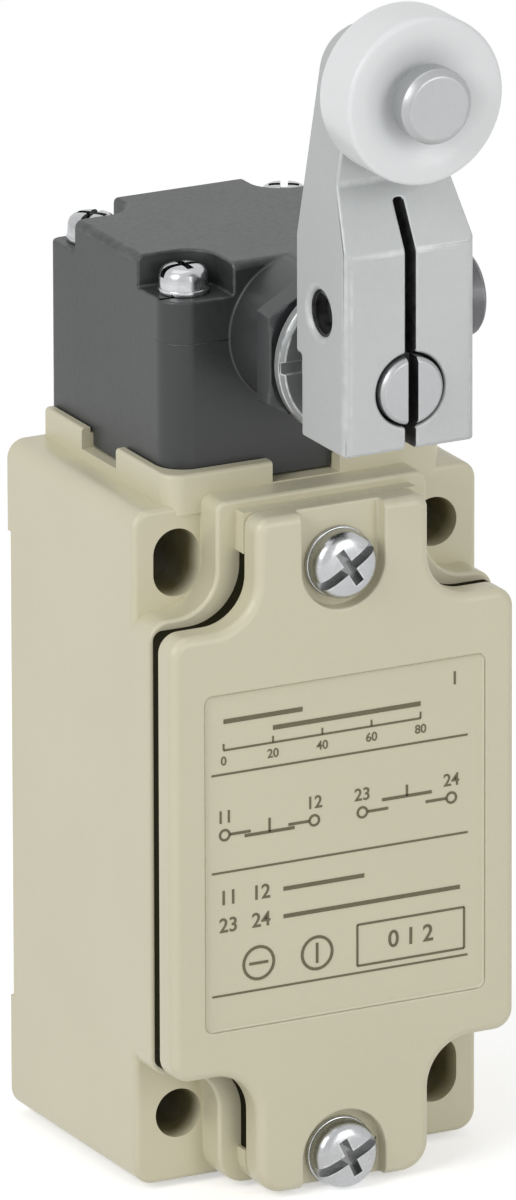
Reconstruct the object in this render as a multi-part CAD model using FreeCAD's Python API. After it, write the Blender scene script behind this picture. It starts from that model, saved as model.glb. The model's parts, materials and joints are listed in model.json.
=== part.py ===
import FreeCAD, Part
import math
import os

# Limit switch with a roller lever, all sizes in millimetres.
# The origin is the middle of the four mounting holes on the back face.
# X runs to the right, Y to the back and Z up.

V = FreeCAD.Vector

# ---------------------------------------------------------------- main sizes
body_half_width = 20.0
body_bottom_z = -37.4
shoulder_z = 36.0
rim_y = -32.7
corner_pad_y = -29.0
rim_wide_top_z = 25.2
rim_wide_bottom_z = -24.3
rim_narrow_half_width = 12.2
rim_narrow_top_z = 37.0
body_top_corner_r = 2.0
body_bottom_corner_r = 2.2
rim_convex_r = 2.2
rim_concave_r = 4.6
rim_bottom_r = 3.2
rim_top_r = 1.2
rim_edge_r = 0.4
back_edge_r = 0.3
corner_edge_r = 0.6

# mounting pattern in the back face
hole_pitch_x = 30.0
hole_pitch_z = 60.0
mount_hole_r = 2.65
mount_slot_length = 7.3
back_relief_depth = 0.9
back_relief_top_z = 26.2
back_relief_bottom_z = -25.0

# inner space of the housing
side_wall = 3.5
end_wall = 2.5
cavity_half_width = body_half_width - side_wall
cavity_back_y = -4.0
cavity_top_z = rim_wide_top_z - end_wall
cavity_bottom_z = rim_wide_bottom_z + end_wall
cavity_corner_r = 2.0

# conduit entry in the bottom
conduit_y = -14.6
conduit_r = 9.3
conduit_mouth_r = 10.5
conduit_mouth_chamfer = 1.2

# platform under the head
neck_half_width = 16.1
neck_front_y = -29.2
neck_back_y = -0.9
neck_top_z = 38.7
neck_lip = 0.6
neck_seat_gap = 0.2
neck_corner_r = 2.0
neck_rear_corner_r = 0.6
neck_bore_r = 5.0

# cover
cover_rear_y = -34.45
cover_front_y = -37.65
cover_step = 0.6
cover_wide_top_z = rim_wide_top_z - cover_step
cover_wide_bottom_z = rim_wide_bottom_z + cover_step
cover_tab_half_width = 10.0
cover_tab_top_z = 36.1
cover_tab_bottom_z = -37.5
cover_edge_r = 1.0
cover_wide_r = 2.2
cover_tab_top_r = 1.5
cover_tab_bottom_r = 3.0
cover_concave_r = 5.0
cover_notch_r = 4.8
cover_notch_floor_y = -36.0
cover_screw_top_z = 30.0
cover_screw_bottom_z = -34.3
boss_pad_top_z = 31.7
boss_pad_bottom_z = -33.3
panel_x = (3.9 - body_half_width, body_half_width - 3.6)
panel_z = (cover_wide_bottom_z + 5.1, cover_wide_top_z - 6.7)
panel_depth = 0.25
cover_lip_height = 1.6
cover_lip_wall = 1.2

# cover gasket
gasket_set_back = 0.4
gasket_land = 3.2
gasket_inner_half_width = body_half_width - gasket_set_back - gasket_land
gasket_inner_top_z = cover_wide_top_z - gasket_set_back - gasket_land
gasket_inner_bottom_z = cover_wide_bottom_z + gasket_set_back + gasket_land

# cover screws, M4
cover_screw_r = 2.0
cover_screw_head_r = 3.65
cover_screw_head_height = 2.4
cover_washer_r = 3.8
cover_washer_thickness = 0.6
cover_screw_end_y = -27.2

# head
head_half_width = 14.9
head_front_y = -27.5
head_top_z = 60.7
head_corner_r = 3.0
head_rear_corner_r = 1.2
head_edge_r = 0.9
head_y = -13.65
head_pocket_gap = (1.05, 0.45)
head_pocket_r = 3.5
head_pocket_floor_z = 57.2
head_key_half_width = 3.8
head_key_length = 1.5
head_key_depth = 2.5
head_key_clearance = 0.1
head_cavity_wall = 1.7
head_cavity_half_y = 8.9
head_cavity_top_z = 56.2
head_boss_r = 7.9
head_boss_end_y = -34.0
head_gasket_thickness = 1.0
head_gasket_outer_r = 8.2
head_gasket_inner_r = 6.9

# head screws, M3
head_screw_pitch_x = 22.4
head_screw_pitch_y = 20.8
head_screw_y = -13.1
head_screw_r = 1.5
head_screw_head_r = 2.6
head_screw_head_height = 2.3
head_washer_r = 2.7
head_washer_thickness = 0.6
head_screw_end_z = 34.4
head_cavity_half_x = head_screw_pitch_x / 2 - head_screw_r - head_cavity_wall

# shaft and what carries it
shaft_z = 52.8
shaft_r = 3.6
journal_r = 2.5
running_clearance = 0.04
fit_gap = 0.02
thread_gap = 0.06
screw_end_gap = 0.4
bush_r = 5.6
hex_flats = 16.5
hex_end_y = -37.2
seal_r = 5.4
seal_depth = 1.8
rear_bush_r = 4.6
rear_bush_y = -1.5
clip_r = 4.0
clip_thickness = 0.6
clip_groove_depth = 0.5
clip_play = 0.02
disc_r = 8.5
disc_y = (-40.0, -38.0)
disc_hub_r = 5.2
disc_bevel = 0.5
indicator_mark_depth = 0.4

# cam inside the head
cam_r = 5.6
cam_flat = 4.2
cam_clearance = 0.5
cam_y = (-18.1, -9.2)
cam_pin_r = 1.0

# lever
lever_radius = 31.5
lever_half_width = 7.5
lever_bottom_z = 46.4
lever_rear_y = -41.5
lever_front_y = -52.4
lever_crease_z = 67.6
lever_arm_z = 74.4
lever_arm_front_y = -48.5
lever_tip_r = 4.9
lever_edge_r = 1.0
lever_slit_width = 1.1
shaft_slot_depth = 2.0
shaft_end_y = -53.0
lever_counterbore_r = 3.95
lever_counterbore_depth = 1.0
lever_relief_depth = 1.1
lever_relief_top_z = 55.0

# clamp bolt across the lever, M5
clamp_y = -46.5
clamp_z = 60.4
clamp_thread_r = 2.35
clamp_head_r = 4.5
clamp_head_sink = 3.0
clamp_head_end_x = 9.7
clamp_clearance_r = 2.6
clamp_socket_flats = 4.0

# roller and its pin
roller_r = 8.9
roller_width = 6.6
roller_gap = 0.65
roller_edge_r = 0.45
roller_dish_r = 7.0
roller_dish_depth = 0.9
pin_r = 3.0
pin_head_r = 4.0
pin_head_height = 2.8
pin_head_chamfer = 0.7
pin_clearance = 0.05

# plunger in the head
plunger_top_z = 47.0
plunger_flange_r = 4.5
plunger_flange_thickness = 1.6
plunger_stem_r = 2.5
plunger_end_z = 30.0
guide_plate_thickness = 2.0
guide_sleeve_r = 4.2
guide_sleeve_end_z = 34.0
head_spring_r = 3.6
head_spring_wire_r = 0.35
head_spring_turns = 3.5

# built-in switch
case_half_width = 15.4
case_y = (-22.0, -4.0)
case_z = (-11.5, cavity_top_z - 2.2)
case_edge_r = 1.0
chamber_half_width = 9.6
chamber_y = (-19.0, -7.6)
chamber_z = (-8.0, case_z[1] - 4.0)
lid_thickness = 1.6
switch_stem_r = 2.0
switch_stem_end_z = 0.5
switch_stem_gap = 0.15
stroke = 2.0
contact_gap = 0.12
bridge_half_length = 8.4
bridge_half_width = 2.0
bridge_thickness = 0.7
bridge_z = 8.0
button_r = 1.3
button_height = 0.6
strip_thickness = 0.8
strip_half_width = 2.0
strip_inner_x = 5.3
terminal_x = 12.6
terminal_half = 2.4
spring_seat_r = 3.4
contact_spring_r = 2.6
contact_spring_wire_r = 0.3
contact_spring_turns = 5.0
terminal_screw_r = 1.5
terminal_head_r = 2.3
terminal_head_height = 1.5
terminal_screw_length = 6.0
clamp_plate_half = 2.6
clamp_plate_thickness = 0.8
lower_terminal_z = 0.6
case_screw_r = 1.5
case_screw_head_r = 2.6
case_screw_head_height = 1.6
case_screw_x = 12.6
case_screw_z = (case_z[0] + 3.1, case_z[1] - 2.7)
upper_terminal_z = case_screw_z[1] - 5.4
case_screw_end_y = -1.6

# earth terminal
earth_x = -12.0
earth_z = -17.0
earth_boss_r = 3.6
earth_boss_y = -9.0
earth_screw_r = 1.75
earth_head_r = 3.3
earth_head_height = 2.0
earth_washer_r = 3.6
earth_washer_thickness = 0.8
earth_screw_end_y = -2.2


# ---------------------------------------------------------------- helpers
def box(x0, x1, y0, y1, z0, z1):
    return Part.makeBox(x1 - x0, y1 - y0, z1 - z0, V(x0, y0, z0))


def cylinder_x(r, x0, x1, y, z):
    return Part.makeCylinder(r, x1 - x0, V(x0, y, z), V(1, 0, 0))


def cylinder_y(r, y0, y1, x, z):
    return Part.makeCylinder(r, y1 - y0, V(x, y0, z), V(0, 1, 0))


def cylinder_z(r, z0, z1, x, y):
    return Part.makeCylinder(r, z1 - z0, V(x, y, z0), V(0, 0, 1))


def cone_y(r0, r1, y0, y1, x, z):
    return Part.makeCone(r0, r1, y1 - y0, V(x, y0, z), V(0, 1, 0))


def cone_z(r0, r1, z0, z1, x, y):
    return Part.makeCone(r0, r1, z1 - z0, V(x, y, z0), V(0, 0, 1))


def cone_x(r0, r1, x0, x1, y, z):
    return Part.makeCone(r0, r1, x1 - x0, V(x0, y, z), V(1, 0, 0))


def rounded_face(corners, place):
    """A face from (u, v, radius) corners; place turns (u, v) into a point."""
    edges = []
    ends = []
    count = len(corners)
    for i in range(count):
        u, v, r = corners[i]
        pu, pv, _ = corners[i - 1]
        nu, nv, _ = corners[(i + 1) % count]
        here = V(u, v, 0)
        back = (V(pu, pv, 0) - here).normalize()
        ahead = (V(nu, nv, 0) - here).normalize()
        if r <= 0:
            ends.append((here, here))
            continue
        half = back.getAngle(ahead) / 2.0
        reach = r / math.tan(half)
        first = here + back * reach
        last = here + ahead * reach
        middle_way = (back + ahead).normalize()
        middle = here + middle_way * (r / math.sin(half) - r)
        ends.append((first, last))
        points = [place(p.x, p.y) for p in (first, middle, last)]
        edges.append(Part.Arc(*points).toShape())
    for i in range(count):
        a = ends[i][1]
        b = ends[(i + 1) % count][0]
        if (b - a).Length > 1e-6:
            edges.append(Part.makeLine(place(a.x, a.y), place(b.x, b.y)))
    wire = Part.Wire(Part.__sortEdges__(edges))
    return Part.Face(wire)


def prism_y(corners, y0, y1):
    face = rounded_face(corners, lambda u, v: V(u, y0, v))
    return face.extrude(V(0, y1 - y0, 0))


def prism_z(corners, z0, z1):
    face = rounded_face(corners, lambda u, v: V(u, v, z0))
    return face.extrude(V(0, 0, z1 - z0))


def prism_x(corners, x0, x1):
    face = rounded_face(corners, lambda u, v: V(x0, u, v))
    return face.extrude(V(x1 - x0, 0, 0))


def rectangle(u0, u1, v0, v1, r):
    return [(u0, v0, r), (u1, v0, r), (u1, v1, r), (u0, v1, r)]


def front_and_rear(half, front, rear, front_r, rear_r):
    """A rectangle in X and Y whose front and rear corners differ."""
    return [(-half, front, front_r), (half, front, front_r), (half, rear, rear_r), (-half, rear, rear_r)]


def flat_edges(shape, axis, level, where=None):
    """The edges that lie in the plane axis = level."""
    found = []
    for edge in shape.Edges:
        bounds = edge.BoundBox
        low = getattr(bounds, axis + "Min")
        high = getattr(bounds, axis + "Max")
        if abs(low - level) < 1e-4 and abs(high - level) < 1e-4:
            if where is None or where(edge.BoundBox):
                found.append(edge)
    return found


def round_flat(shape, axis, level, r, where=None):
    return shape.makeFillet(r, flat_edges(shape, axis, level, where))


def plus(wide, narrow, wide_z, narrow_z, convex, concave, top_r, bottom_r):
    """A plus-shaped outline, listed anticlockwise from the bottom left."""
    low, high = wide_z
    bottom, top = narrow_z
    return [
        (-narrow, bottom, bottom_r),
        (narrow, bottom, bottom_r),
        (narrow, low, concave),
        (wide, low, convex),
        (wide, high, convex),
        (narrow, high, concave),
        (narrow, top, top_r),
        (-narrow, top, top_r),
        (-narrow, high, concave),
        (-wide, high, convex),
        (-wide, low, convex),
        (-narrow, low, concave),
    ]


def pan_head(r, height, crown):
    """A pan head standing on z = 0, with a slightly domed top."""
    body = Part.makeCylinder(r, height)
    top = [e for e in body.Edges if abs(e.BoundBox.ZMin - height) < 1e-4]
    top = [e for e in top if e.BoundBox.ZMax - height < 1e-4]
    top = [e for e in top if e.BoundBox.XLength > r]
    return body.makeFillet(crown, top)


def cross_recess(width, length, depth, top):
    """A cross recess that narrows as it goes down from z = top."""
    arms = []
    for angle in (0, 90):
        low = [V(-width / 2, -length / 4, top - depth), V(width / 2, -length / 4, top - depth),
               V(width / 2, length / 4, top - depth), V(-width / 2, length / 4, top - depth)]
        high = [V(-width / 2, -length / 2, top + 0.2), V(width / 2, -length / 2, top + 0.2),
                V(width / 2, length / 2, top + 0.2), V(-width / 2, length / 2, top + 0.2)]
        wires = [Part.makePolygon(p + [p[0]]) for p in (low, high)]
        arm = Part.makeLoft(wires, True, True)
        arm.rotate(V(0, 0, 0), V(0, 0, 1), angle)
        arms.append(arm)
    return arms[0].fuse(arms[1])


def screw(head_r, head_height, thread_r, length, crown, cross):
    """A pan-head screw along z: head above z = 0, thread below it."""
    width, span, depth = cross
    body = pan_head(head_r, head_height, crown)
    shank = Part.makeCylinder(thread_r, length - thread_r * 0.5, V(0, 0, -(length - thread_r * 0.5)))
    point = Part.makeCone(thread_r * 0.55, thread_r, thread_r * 0.5, V(0, 0, -length))
    body = body.fuse(shank).fuse(point)
    return body.cut(cross_recess(width, span, depth, head_height))


def face_front(shape, x, y, z):
    """Turns a part built along +z to face the front, at (x, y, z)."""
    turned = shape.copy()
    turned.rotate(V(0, 0, 0), V(1, 0, 0), 90)
    turned.translate(V(x, y, z))
    return turned


def ring(outer, inner, height):
    return Part.makeCylinder(outer, height).cut(Part.makeCylinder(inner, height))


def coil(mean_r, wire_r, z0, z1, turns, x, y):
    """A compression spring with its ends inside z0 to z1."""
    rise = z1 - z0 - 2.0 * wire_r
    path = Part.makeHelix(rise / turns, rise, mean_r)
    section = Part.Wire([Part.makeCircle(wire_r, V(mean_r, 0, 0), V(0, 1, 0))])
    body = Part.Wire(path).makePipeShell([section], True, True)
    body.translate(V(x, y, z0 + wire_r))
    return body


def save(name, shape):
    solids = shape.removeSplitter().Solids
    if len(solids) != 1:
        raise ValueError(name + " has " + str(len(solids)) + " solids")
    if not solids[0].isValid():
        raise ValueError(name + " isn't valid")
    solids[0].exportStep("parts/" + name + ".step")


# ---------------------------------------------------------------- housing
def mounting_places():
    """Each mounting hole as x, z and whether it is a slot."""
    x = hole_pitch_x / 2
    z = hole_pitch_z / 2
    return [(-x, z, True), (x, z, False), (-x, -z, False), (x, -z, True)]


def rim_outline(inset):
    """The plus-shaped rim; a positive inset draws it smaller."""
    return plus(
        body_half_width - inset, rim_narrow_half_width - inset,
        (rim_wide_bottom_z + inset, rim_wide_top_z - inset),
        (body_bottom_z, rim_narrow_top_z),
        rim_convex_r, rim_concave_r, rim_top_r, rim_bottom_r)


def make_housing():
    outline = [
        (-body_half_width, body_bottom_z, body_bottom_corner_r),
        (body_half_width, body_bottom_z, body_bottom_corner_r),
        (body_half_width, shoulder_z, body_top_corner_r),
        (-body_half_width, shoulder_z, body_top_corner_r),
    ]
    block = prism_y(outline, corner_pad_y, 0)
    block = round_flat(block, "Y", 0, back_edge_r)
    block = round_flat(block, "Y", corner_pad_y, corner_edge_r)
    rim = prism_y(rim_outline(0), rim_y, corner_pad_y + 2.0 * corner_edge_r)
    rim = round_flat(rim, "Y", rim_y, rim_edge_r)
    shell = block.fuse(rim).removeSplitter()

    lip_z = neck_top_z + neck_lip
    neck = prism_z(front_and_rear(neck_half_width, neck_front_y, neck_back_y, neck_corner_r,
                                  neck_rear_corner_r), shoulder_z - 1.0, lip_z)
    neck = round_flat(neck, "Z", lip_z, 0.4)
    seat = front_and_rear(head_half_width + neck_seat_gap, head_front_y - neck_seat_gap, 2.0,
                          head_corner_r + neck_seat_gap, 0)
    neck = neck.cut(prism_z(seat, neck_top_z, lip_z + 1.0))
    shell = shell.fuse(neck)

    # pads that the ends of the cover sit on
    pad_w = cover_tab_half_width
    shell = shell.fuse(box(-pad_w, pad_w, cover_rear_y, rim_y + 1.0, boss_pad_top_z, cover_tab_top_z))
    shell = shell.fuse(prism_y([
        (-pad_w, body_bottom_z, cover_tab_bottom_r), (pad_w, body_bottom_z, cover_tab_bottom_r),
        (pad_w, boss_pad_bottom_z, 0), (-pad_w, boss_pad_bottom_z, 0)], cover_rear_y, rim_y + 1.0))

    # inner space
    shell = shell.cut(prism_y(rectangle(-cavity_half_width, cavity_half_width, cavity_bottom_z,
                                        cavity_top_z, cavity_corner_r), rim_y - 3.0, cavity_back_y))
    shell = shell.cut(cylinder_z(neck_bore_r, cavity_top_z - 1.0, neck_top_z + 1.0, 0, head_y))
    shell = shell.cut(cylinder_z(conduit_r, body_bottom_z - 1.0, cavity_bottom_z + 1.0, 0, conduit_y))
    mouth_z = body_bottom_z + conduit_mouth_chamfer
    shell = shell.cut(cone_z(conduit_mouth_r, conduit_r, body_bottom_z, mouth_z, 0, conduit_y))

    # boss of the earth terminal
    shell = shell.fuse(cylinder_y(earth_boss_r, earth_boss_y, cavity_back_y + 1.0, earth_x, earth_z))
    shell = shell.cut(cylinder_y(earth_screw_r + thread_gap, earth_boss_y - 1.0,
                                 earth_screw_end_y + screw_end_gap, earth_x, earth_z))

    # back relief between the mounting pads
    shell = shell.cut(box(-body_half_width - 1.0, body_half_width + 1.0, -back_relief_depth, 1.0,
                          back_relief_bottom_z, back_relief_top_z))

    # mounting holes, two of them slotted
    for x, z, slotted in mounting_places():
        if slotted:
            half = mount_slot_length / 2
            cutter = prism_y(rectangle(x - mount_hole_r, x + mount_hole_r, z - half, z + half,
                                       mount_hole_r), corner_pad_y - 5.0, 1.0)
        else:
            cutter = cylinder_y(mount_hole_r, corner_pad_y - 5.0, 1.0, x, z)
        shell = shell.cut(cutter)

    # notches for the keys of the head and the groove of its gasket
    for tool in key_blocks(head_key_clearance, neck_half_width + 2.0):
        shell = shell.cut(tool)
    groove = ring(head_gasket_outer_r, head_gasket_inner_r, head_gasket_thickness)
    groove.translate(V(0, head_y, neck_top_z - head_gasket_thickness))
    shell = shell.cut(groove)

    # screw holes
    for z in (cover_screw_top_z, cover_screw_bottom_z):
        shell = shell.cut(cylinder_y(cover_screw_r + thread_gap, cover_rear_y - 1.0,
                                     cover_screw_end_y + screw_end_gap, 0, z))
    for x, y in head_screw_places():
        shell = shell.cut(cylinder_z(head_screw_r + thread_gap, head_screw_end_z - screw_end_gap,
                                     neck_top_z + 1.0, x, y))
    for x, z in case_screw_places():
        shell = shell.cut(cylinder_y(case_screw_r + thread_gap, cavity_back_y - 1.0,
                                     case_screw_end_y + screw_end_gap, x, z))
    return shell


def head_screw_places():
    x = head_screw_pitch_x / 2
    y = head_screw_pitch_y / 2
    return [(sx * x, head_screw_y + sy * y) for sx in (-1, 1) for sy in (-1, 1)]


def case_screw_places():
    return [(-case_screw_x, case_screw_z[0]), (case_screw_x, case_screw_z[1])]


def key_blocks(gap, reach):
    """Blocks for the keys under the head; reach runs past the platform."""
    w = head_key_half_width + gap
    low = neck_top_z - head_key_length - gap
    high = neck_top_z + neck_lip + 0.4
    side_inner = head_half_width - head_key_depth - gap
    front_inner = head_front_y + head_key_depth + gap
    back_inner = -head_key_depth - gap
    return [
        box(-w, w, -neck_half_width - 16.0, front_inner, low, high),
        box(-w, w, back_inner, 1.0, low, high),
        box(-reach, -side_inner, head_y - w, head_y + w, low, high),
        box(side_inner, reach, head_y - w, head_y + w, low, high),
    ]


# ---------------------------------------------------------------- cover
def cover_outline():
    return plus(
        body_half_width, cover_tab_half_width,
        (cover_wide_bottom_z, cover_wide_top_z),
        (cover_tab_bottom_z, cover_tab_top_z),
        cover_wide_r, cover_concave_r, cover_tab_top_r, cover_tab_bottom_r)


def make_cover():
    plate = prism_y(cover_outline(), cover_front_y, cover_rear_y)
    plate = round_flat(plate, "Y", cover_front_y, cover_edge_r)
    panel = prism_y(rectangle(panel_x[0], panel_x[1], panel_z[0], panel_z[1], 0.8),
                    cover_front_y - 1.0, cover_front_y + panel_depth)
    plate = plate.cut(panel)
    for z, way in ((cover_screw_top_z, 1), (cover_screw_bottom_z, -1)):
        notch = cylinder_y(cover_notch_r, cover_front_y - 1.0, cover_notch_floor_y, 0, z)
        end = z + way * 12.0
        notch = notch.fuse(box(-cover_notch_r, cover_notch_r, cover_front_y - 1.0, cover_notch_floor_y,
                               min(z, end), max(z, end)))
        plate = plate.cut(notch)
        plate = plate.cut(cylinder_y(cover_screw_r + 0.2, cover_front_y, cover_rear_y + 1.0, 0, z))
    outer = gasket_inner_half_width - 0.2
    top = gasket_inner_top_z - 0.2
    bottom = gasket_inner_bottom_z + 0.2
    wall = cover_lip_wall
    lip = prism_y(rectangle(-outer, outer, bottom, top, 2.0), cover_rear_y, cover_rear_y + cover_lip_height)
    lip = lip.cut(prism_y(rectangle(-outer + wall, outer - wall, bottom + wall, top - wall, 1.0),
                          cover_rear_y, cover_rear_y + cover_lip_height))
    return plate.fuse(lip)


def make_cover_gasket():
    inset = gasket_set_back
    outer = plus(
        body_half_width - inset, cover_tab_half_width - inset,
        (cover_wide_bottom_z + inset, cover_wide_top_z - inset),
        (boss_pad_bottom_z, boss_pad_top_z),
        1.0, cover_concave_r + 1.0, 0, 0)
    sheet = prism_y(outer, cover_rear_y, rim_y)
    sheet = sheet.cut(prism_y(rectangle(-gasket_inner_half_width, gasket_inner_half_width,
                                        gasket_inner_bottom_z, gasket_inner_top_z, 2.0),
                              cover_rear_y, rim_y))
    for z in (cover_screw_top_z, cover_screw_bottom_z):
        sheet = sheet.cut(cylinder_y(cover_screw_r + 0.6, cover_rear_y, rim_y, 0, z))
    return sheet


def save_cover_screws():
    floor = cover_notch_floor_y
    length = abs(floor - cover_washer_thickness - cover_screw_end_y)
    for name, z in (("top", cover_screw_top_z), ("bottom", cover_screw_bottom_z)):
        washer = ring(cover_washer_r, cover_screw_r + 0.1, cover_washer_thickness)
        save("cover_washer_" + name, face_front(washer, 0, floor, z))
        body = screw(cover_screw_head_r, cover_screw_head_height, cover_screw_r, length, 0.9,
                     (0.95, 4.4, 1.5))
        body.rotate(V(0, 0, 0), V(0, 0, 1), 20)
        save("cover_screw_" + name, face_front(body, 0, floor - cover_washer_thickness, z))


# ---------------------------------------------------------------- head
def make_head():
    w = head_half_width
    outline = front_and_rear(w, head_front_y, 0, head_corner_r, head_rear_corner_r)
    body = prism_z(outline, neck_top_z, head_top_z)
    body = round_flat(body, "Z", head_top_z, head_edge_r)
    boss = cylinder_y(head_boss_r, head_boss_end_y, head_front_y + 2.0, 0, shaft_z)
    ridge = box(-head_boss_r, head_boss_r, head_boss_end_y, head_front_y + 2.0, shaft_z, shaft_z + 3.0)
    body = body.fuse(boss.fuse(ridge.common(boss)))

    # pockets of the corner screws
    inner_x = head_screw_pitch_x / 2 - head_washer_r - head_pocket_gap[0]
    inner_y = head_screw_pitch_y / 2 - head_washer_r - head_pocket_gap[1]
    for sx in (-1, 1):
        for sy in (-1, 1):
            far = 20.0
            a = sx * inner_x
            b = head_screw_y + sy * inner_y
            corners = [(a, b, head_pocket_r), (sx * far, b, 0),
                       (sx * far, head_screw_y + sy * far, 0), (a, head_screw_y + sy * far, 0)]
            body = body.cut(prism_z(corners, head_pocket_floor_z, head_top_z + 2.0))
    for x, y in head_screw_places():
        body = body.cut(cylinder_z(head_screw_r + 0.15, neck_top_z - 1.0, head_top_z, x, y))

    # inner space, shaft bores and keys
    hx = head_cavity_half_x
    hy = head_cavity_half_y
    body = body.cut(prism_z(rectangle(-hx, hx, head_y - hy, head_y + hy, 1.0),
                            neck_top_z - 1.0, head_cavity_top_z))
    body = body.cut(cylinder_y(cam_r + cam_clearance, head_y - hy, head_y + hy, 0, shaft_z))
    body = body.cut(cylinder_y(bush_r, head_boss_end_y - 1.0, head_y, 0, shaft_z))
    body = body.cut(cylinder_y(rear_bush_r, head_y, rear_bush_y, 0, shaft_z))
    limit = prism_z(outline, neck_top_z - 5.0, neck_top_z + 0.5)
    for block in key_blocks(0, neck_half_width):
        body = body.fuse(block.common(limit))
    return body


def make_head_gasket():
    seal = ring(head_gasket_outer_r, head_gasket_inner_r, head_gasket_thickness)
    seal.translate(V(0, head_y, neck_top_z - head_gasket_thickness))
    return seal


def save_head_screws():
    names = ("left_front", "left_rear", "right_front", "right_rear")
    floor = head_pocket_floor_z
    length = floor + head_washer_thickness - head_screw_end_z
    for name, place, turn in zip(names, head_screw_places(), (12, 50, 31, 70)):
        x, y = place
        washer = ring(head_washer_r, head_screw_r + 0.1, head_washer_thickness)
        washer.translate(V(x, y, floor))
        save("head_washer_" + name, washer)
        body = screw(head_screw_head_r, head_screw_head_height, head_screw_r, length, 0.8,
                     (0.8, 3.6, 1.3))
        body.rotate(V(0, 0, 0), V(0, 0, 1), turn)
        body.translate(V(x, y, floor + head_washer_thickness))
        save("head_screw_" + name, body)


def hexagon(flats, z0, z1):
    """A hexagon along y with corners up and down, at the shaft height."""
    reach = flats / math.sqrt(3.0)
    corners = []
    for i in range(6):
        angle = math.radians(90 + 60 * i)
        corners.append((reach * math.cos(angle), shaft_z + reach * math.sin(angle), 0))
    return prism_y(corners, z0, z1)


def make_shaft_bush():
    nut = hexagon(hex_flats, hex_end_y, head_boss_end_y)
    chamfer = cone_y(hex_flats / 2 + 0.2, hex_flats / 2 + 1.6, hex_end_y, hex_end_y + 0.8, 0, shaft_z)
    chamfer = chamfer.fuse(cylinder_y(hex_flats / 2 + 1.6, hex_end_y + 0.8, head_boss_end_y, 0, shaft_z))
    nut = nut.common(chamfer)
    sleeve = cylinder_y(bush_r - fit_gap, head_boss_end_y, head_y - head_cavity_half_y, 0, shaft_z)
    bore = cylinder_y(shaft_r + running_clearance, hex_end_y - 1.0, head_y, 0, shaft_z)
    seat = cylinder_y(seal_r, hex_end_y - 1.0, hex_end_y + seal_depth, 0, shaft_z)
    return nut.fuse(sleeve).cut(bore).cut(seat)


def make_shaft_seal():
    body = ring(seal_r - fit_gap, shaft_r + running_clearance, seal_depth - 0.3)
    return face_front(body, 0, hex_end_y + seal_depth, shaft_z)


def make_rear_bush():
    length = abs(head_y + head_cavity_half_y - rear_bush_y)
    body = ring(rear_bush_r - fit_gap, journal_r + running_clearance, length)
    return face_front(body, 0, rear_bush_y, shaft_z)


# ---------------------------------------------------------------- lever
def make_lever():
    tip_z = shaft_z + lever_radius
    side = [
        (lever_rear_y, lever_bottom_z, 0.4),
        (lever_rear_y, tip_z + lever_tip_r, 0.4),
        (lever_arm_front_y, tip_z + lever_tip_r, 0.4),
        (lever_arm_front_y, lever_arm_z, 1.5),
        (lever_front_y, lever_crease_z, 1.5),
        (lever_front_y, lever_bottom_z, 0.6),
    ]
    body = prism_x(side, -lever_half_width - 1.0, lever_half_width + 1.0)
    # the sides lean in to meet the round tip
    rise = tip_z - lever_crease_z
    reach = math.hypot(lever_half_width, rise)
    lean = math.acos(lever_tip_r / reach) - math.atan2(rise, lever_half_width)
    touch = (lever_tip_r * math.cos(lean), tip_z + lever_tip_r * math.sin(lean))
    line = [
        (-lever_half_width, lever_bottom_z), (lever_half_width, lever_bottom_z),
        (lever_half_width, lever_crease_z), touch,
    ]
    points = [V(u, lever_front_y - 1.0, v) for u, v in line]
    edges = [Part.makeLine(points[i], points[i + 1]) for i in range(3)]
    mirror = V(-touch[0], lever_front_y - 1.0, touch[1])
    crest = V(0, lever_front_y - 1.0, tip_z + lever_tip_r)
    edges.append(Part.Arc(points[3], crest, mirror).toShape())
    shoulder = V(-lever_half_width, lever_front_y - 1.0, lever_crease_z)
    edges.append(Part.makeLine(mirror, shoulder))
    edges.append(Part.makeLine(shoulder, points[0]))
    wire = Part.Wire(Part.__sortEdges__(edges))
    tall = Part.Face(wire).extrude(V(0, lever_rear_y - lever_front_y + 2.0, 0))
    body = body.common(tall)
    plan = front_and_rear(lever_half_width, lever_front_y, lever_rear_y, lever_edge_r, 0)
    body = body.common(prism_z(plan, lever_bottom_z, tip_z + lever_tip_r))

    # bore, slit and clamp bolt holes
    bore_r = shaft_r + fit_gap
    body = body.cut(cylinder_y(bore_r, lever_front_y - 1.0, lever_rear_y + 1.0, 0, shaft_z))
    body = body.cut(cylinder_y(lever_counterbore_r, lever_front_y - 1.0,
                               lever_front_y + lever_counterbore_depth, 0, shaft_z))
    body = body.cut(box(-lever_half_width - 1.0, lever_half_width + 1.0, lever_rear_y - lever_relief_depth,
                        lever_rear_y + 1.0, lever_bottom_z - 1.0, lever_relief_top_z))
    half = lever_slit_width / 2
    body = body.cut(box(-half, half, lever_front_y - 1.0, lever_rear_y + 1.0,
                        lever_bottom_z - 1.0, lever_arm_z - 1.9))
    tapped_r = clamp_thread_r + thread_gap
    body = body.cut(cylinder_x(tapped_r, -lever_half_width - 1.0, half, clamp_y, clamp_z))
    body = body.cut(cone_x(clamp_thread_r + 0.5, clamp_thread_r, -lever_half_width,
                           -lever_half_width + 0.5, clamp_y, clamp_z))
    body = body.cut(cylinder_x(clamp_clearance_r, -half, lever_half_width + 1.0, clamp_y, clamp_z))
    body = body.cut(cylinder_x(clamp_head_r + 0.15, lever_half_width - clamp_head_sink,
                               lever_half_width + 1.0, clamp_y, clamp_z))
    body = body.cut(cylinder_y(pin_r + fit_gap, lever_front_y, lever_rear_y + 1.0, 0, tip_z))
    return body


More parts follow.
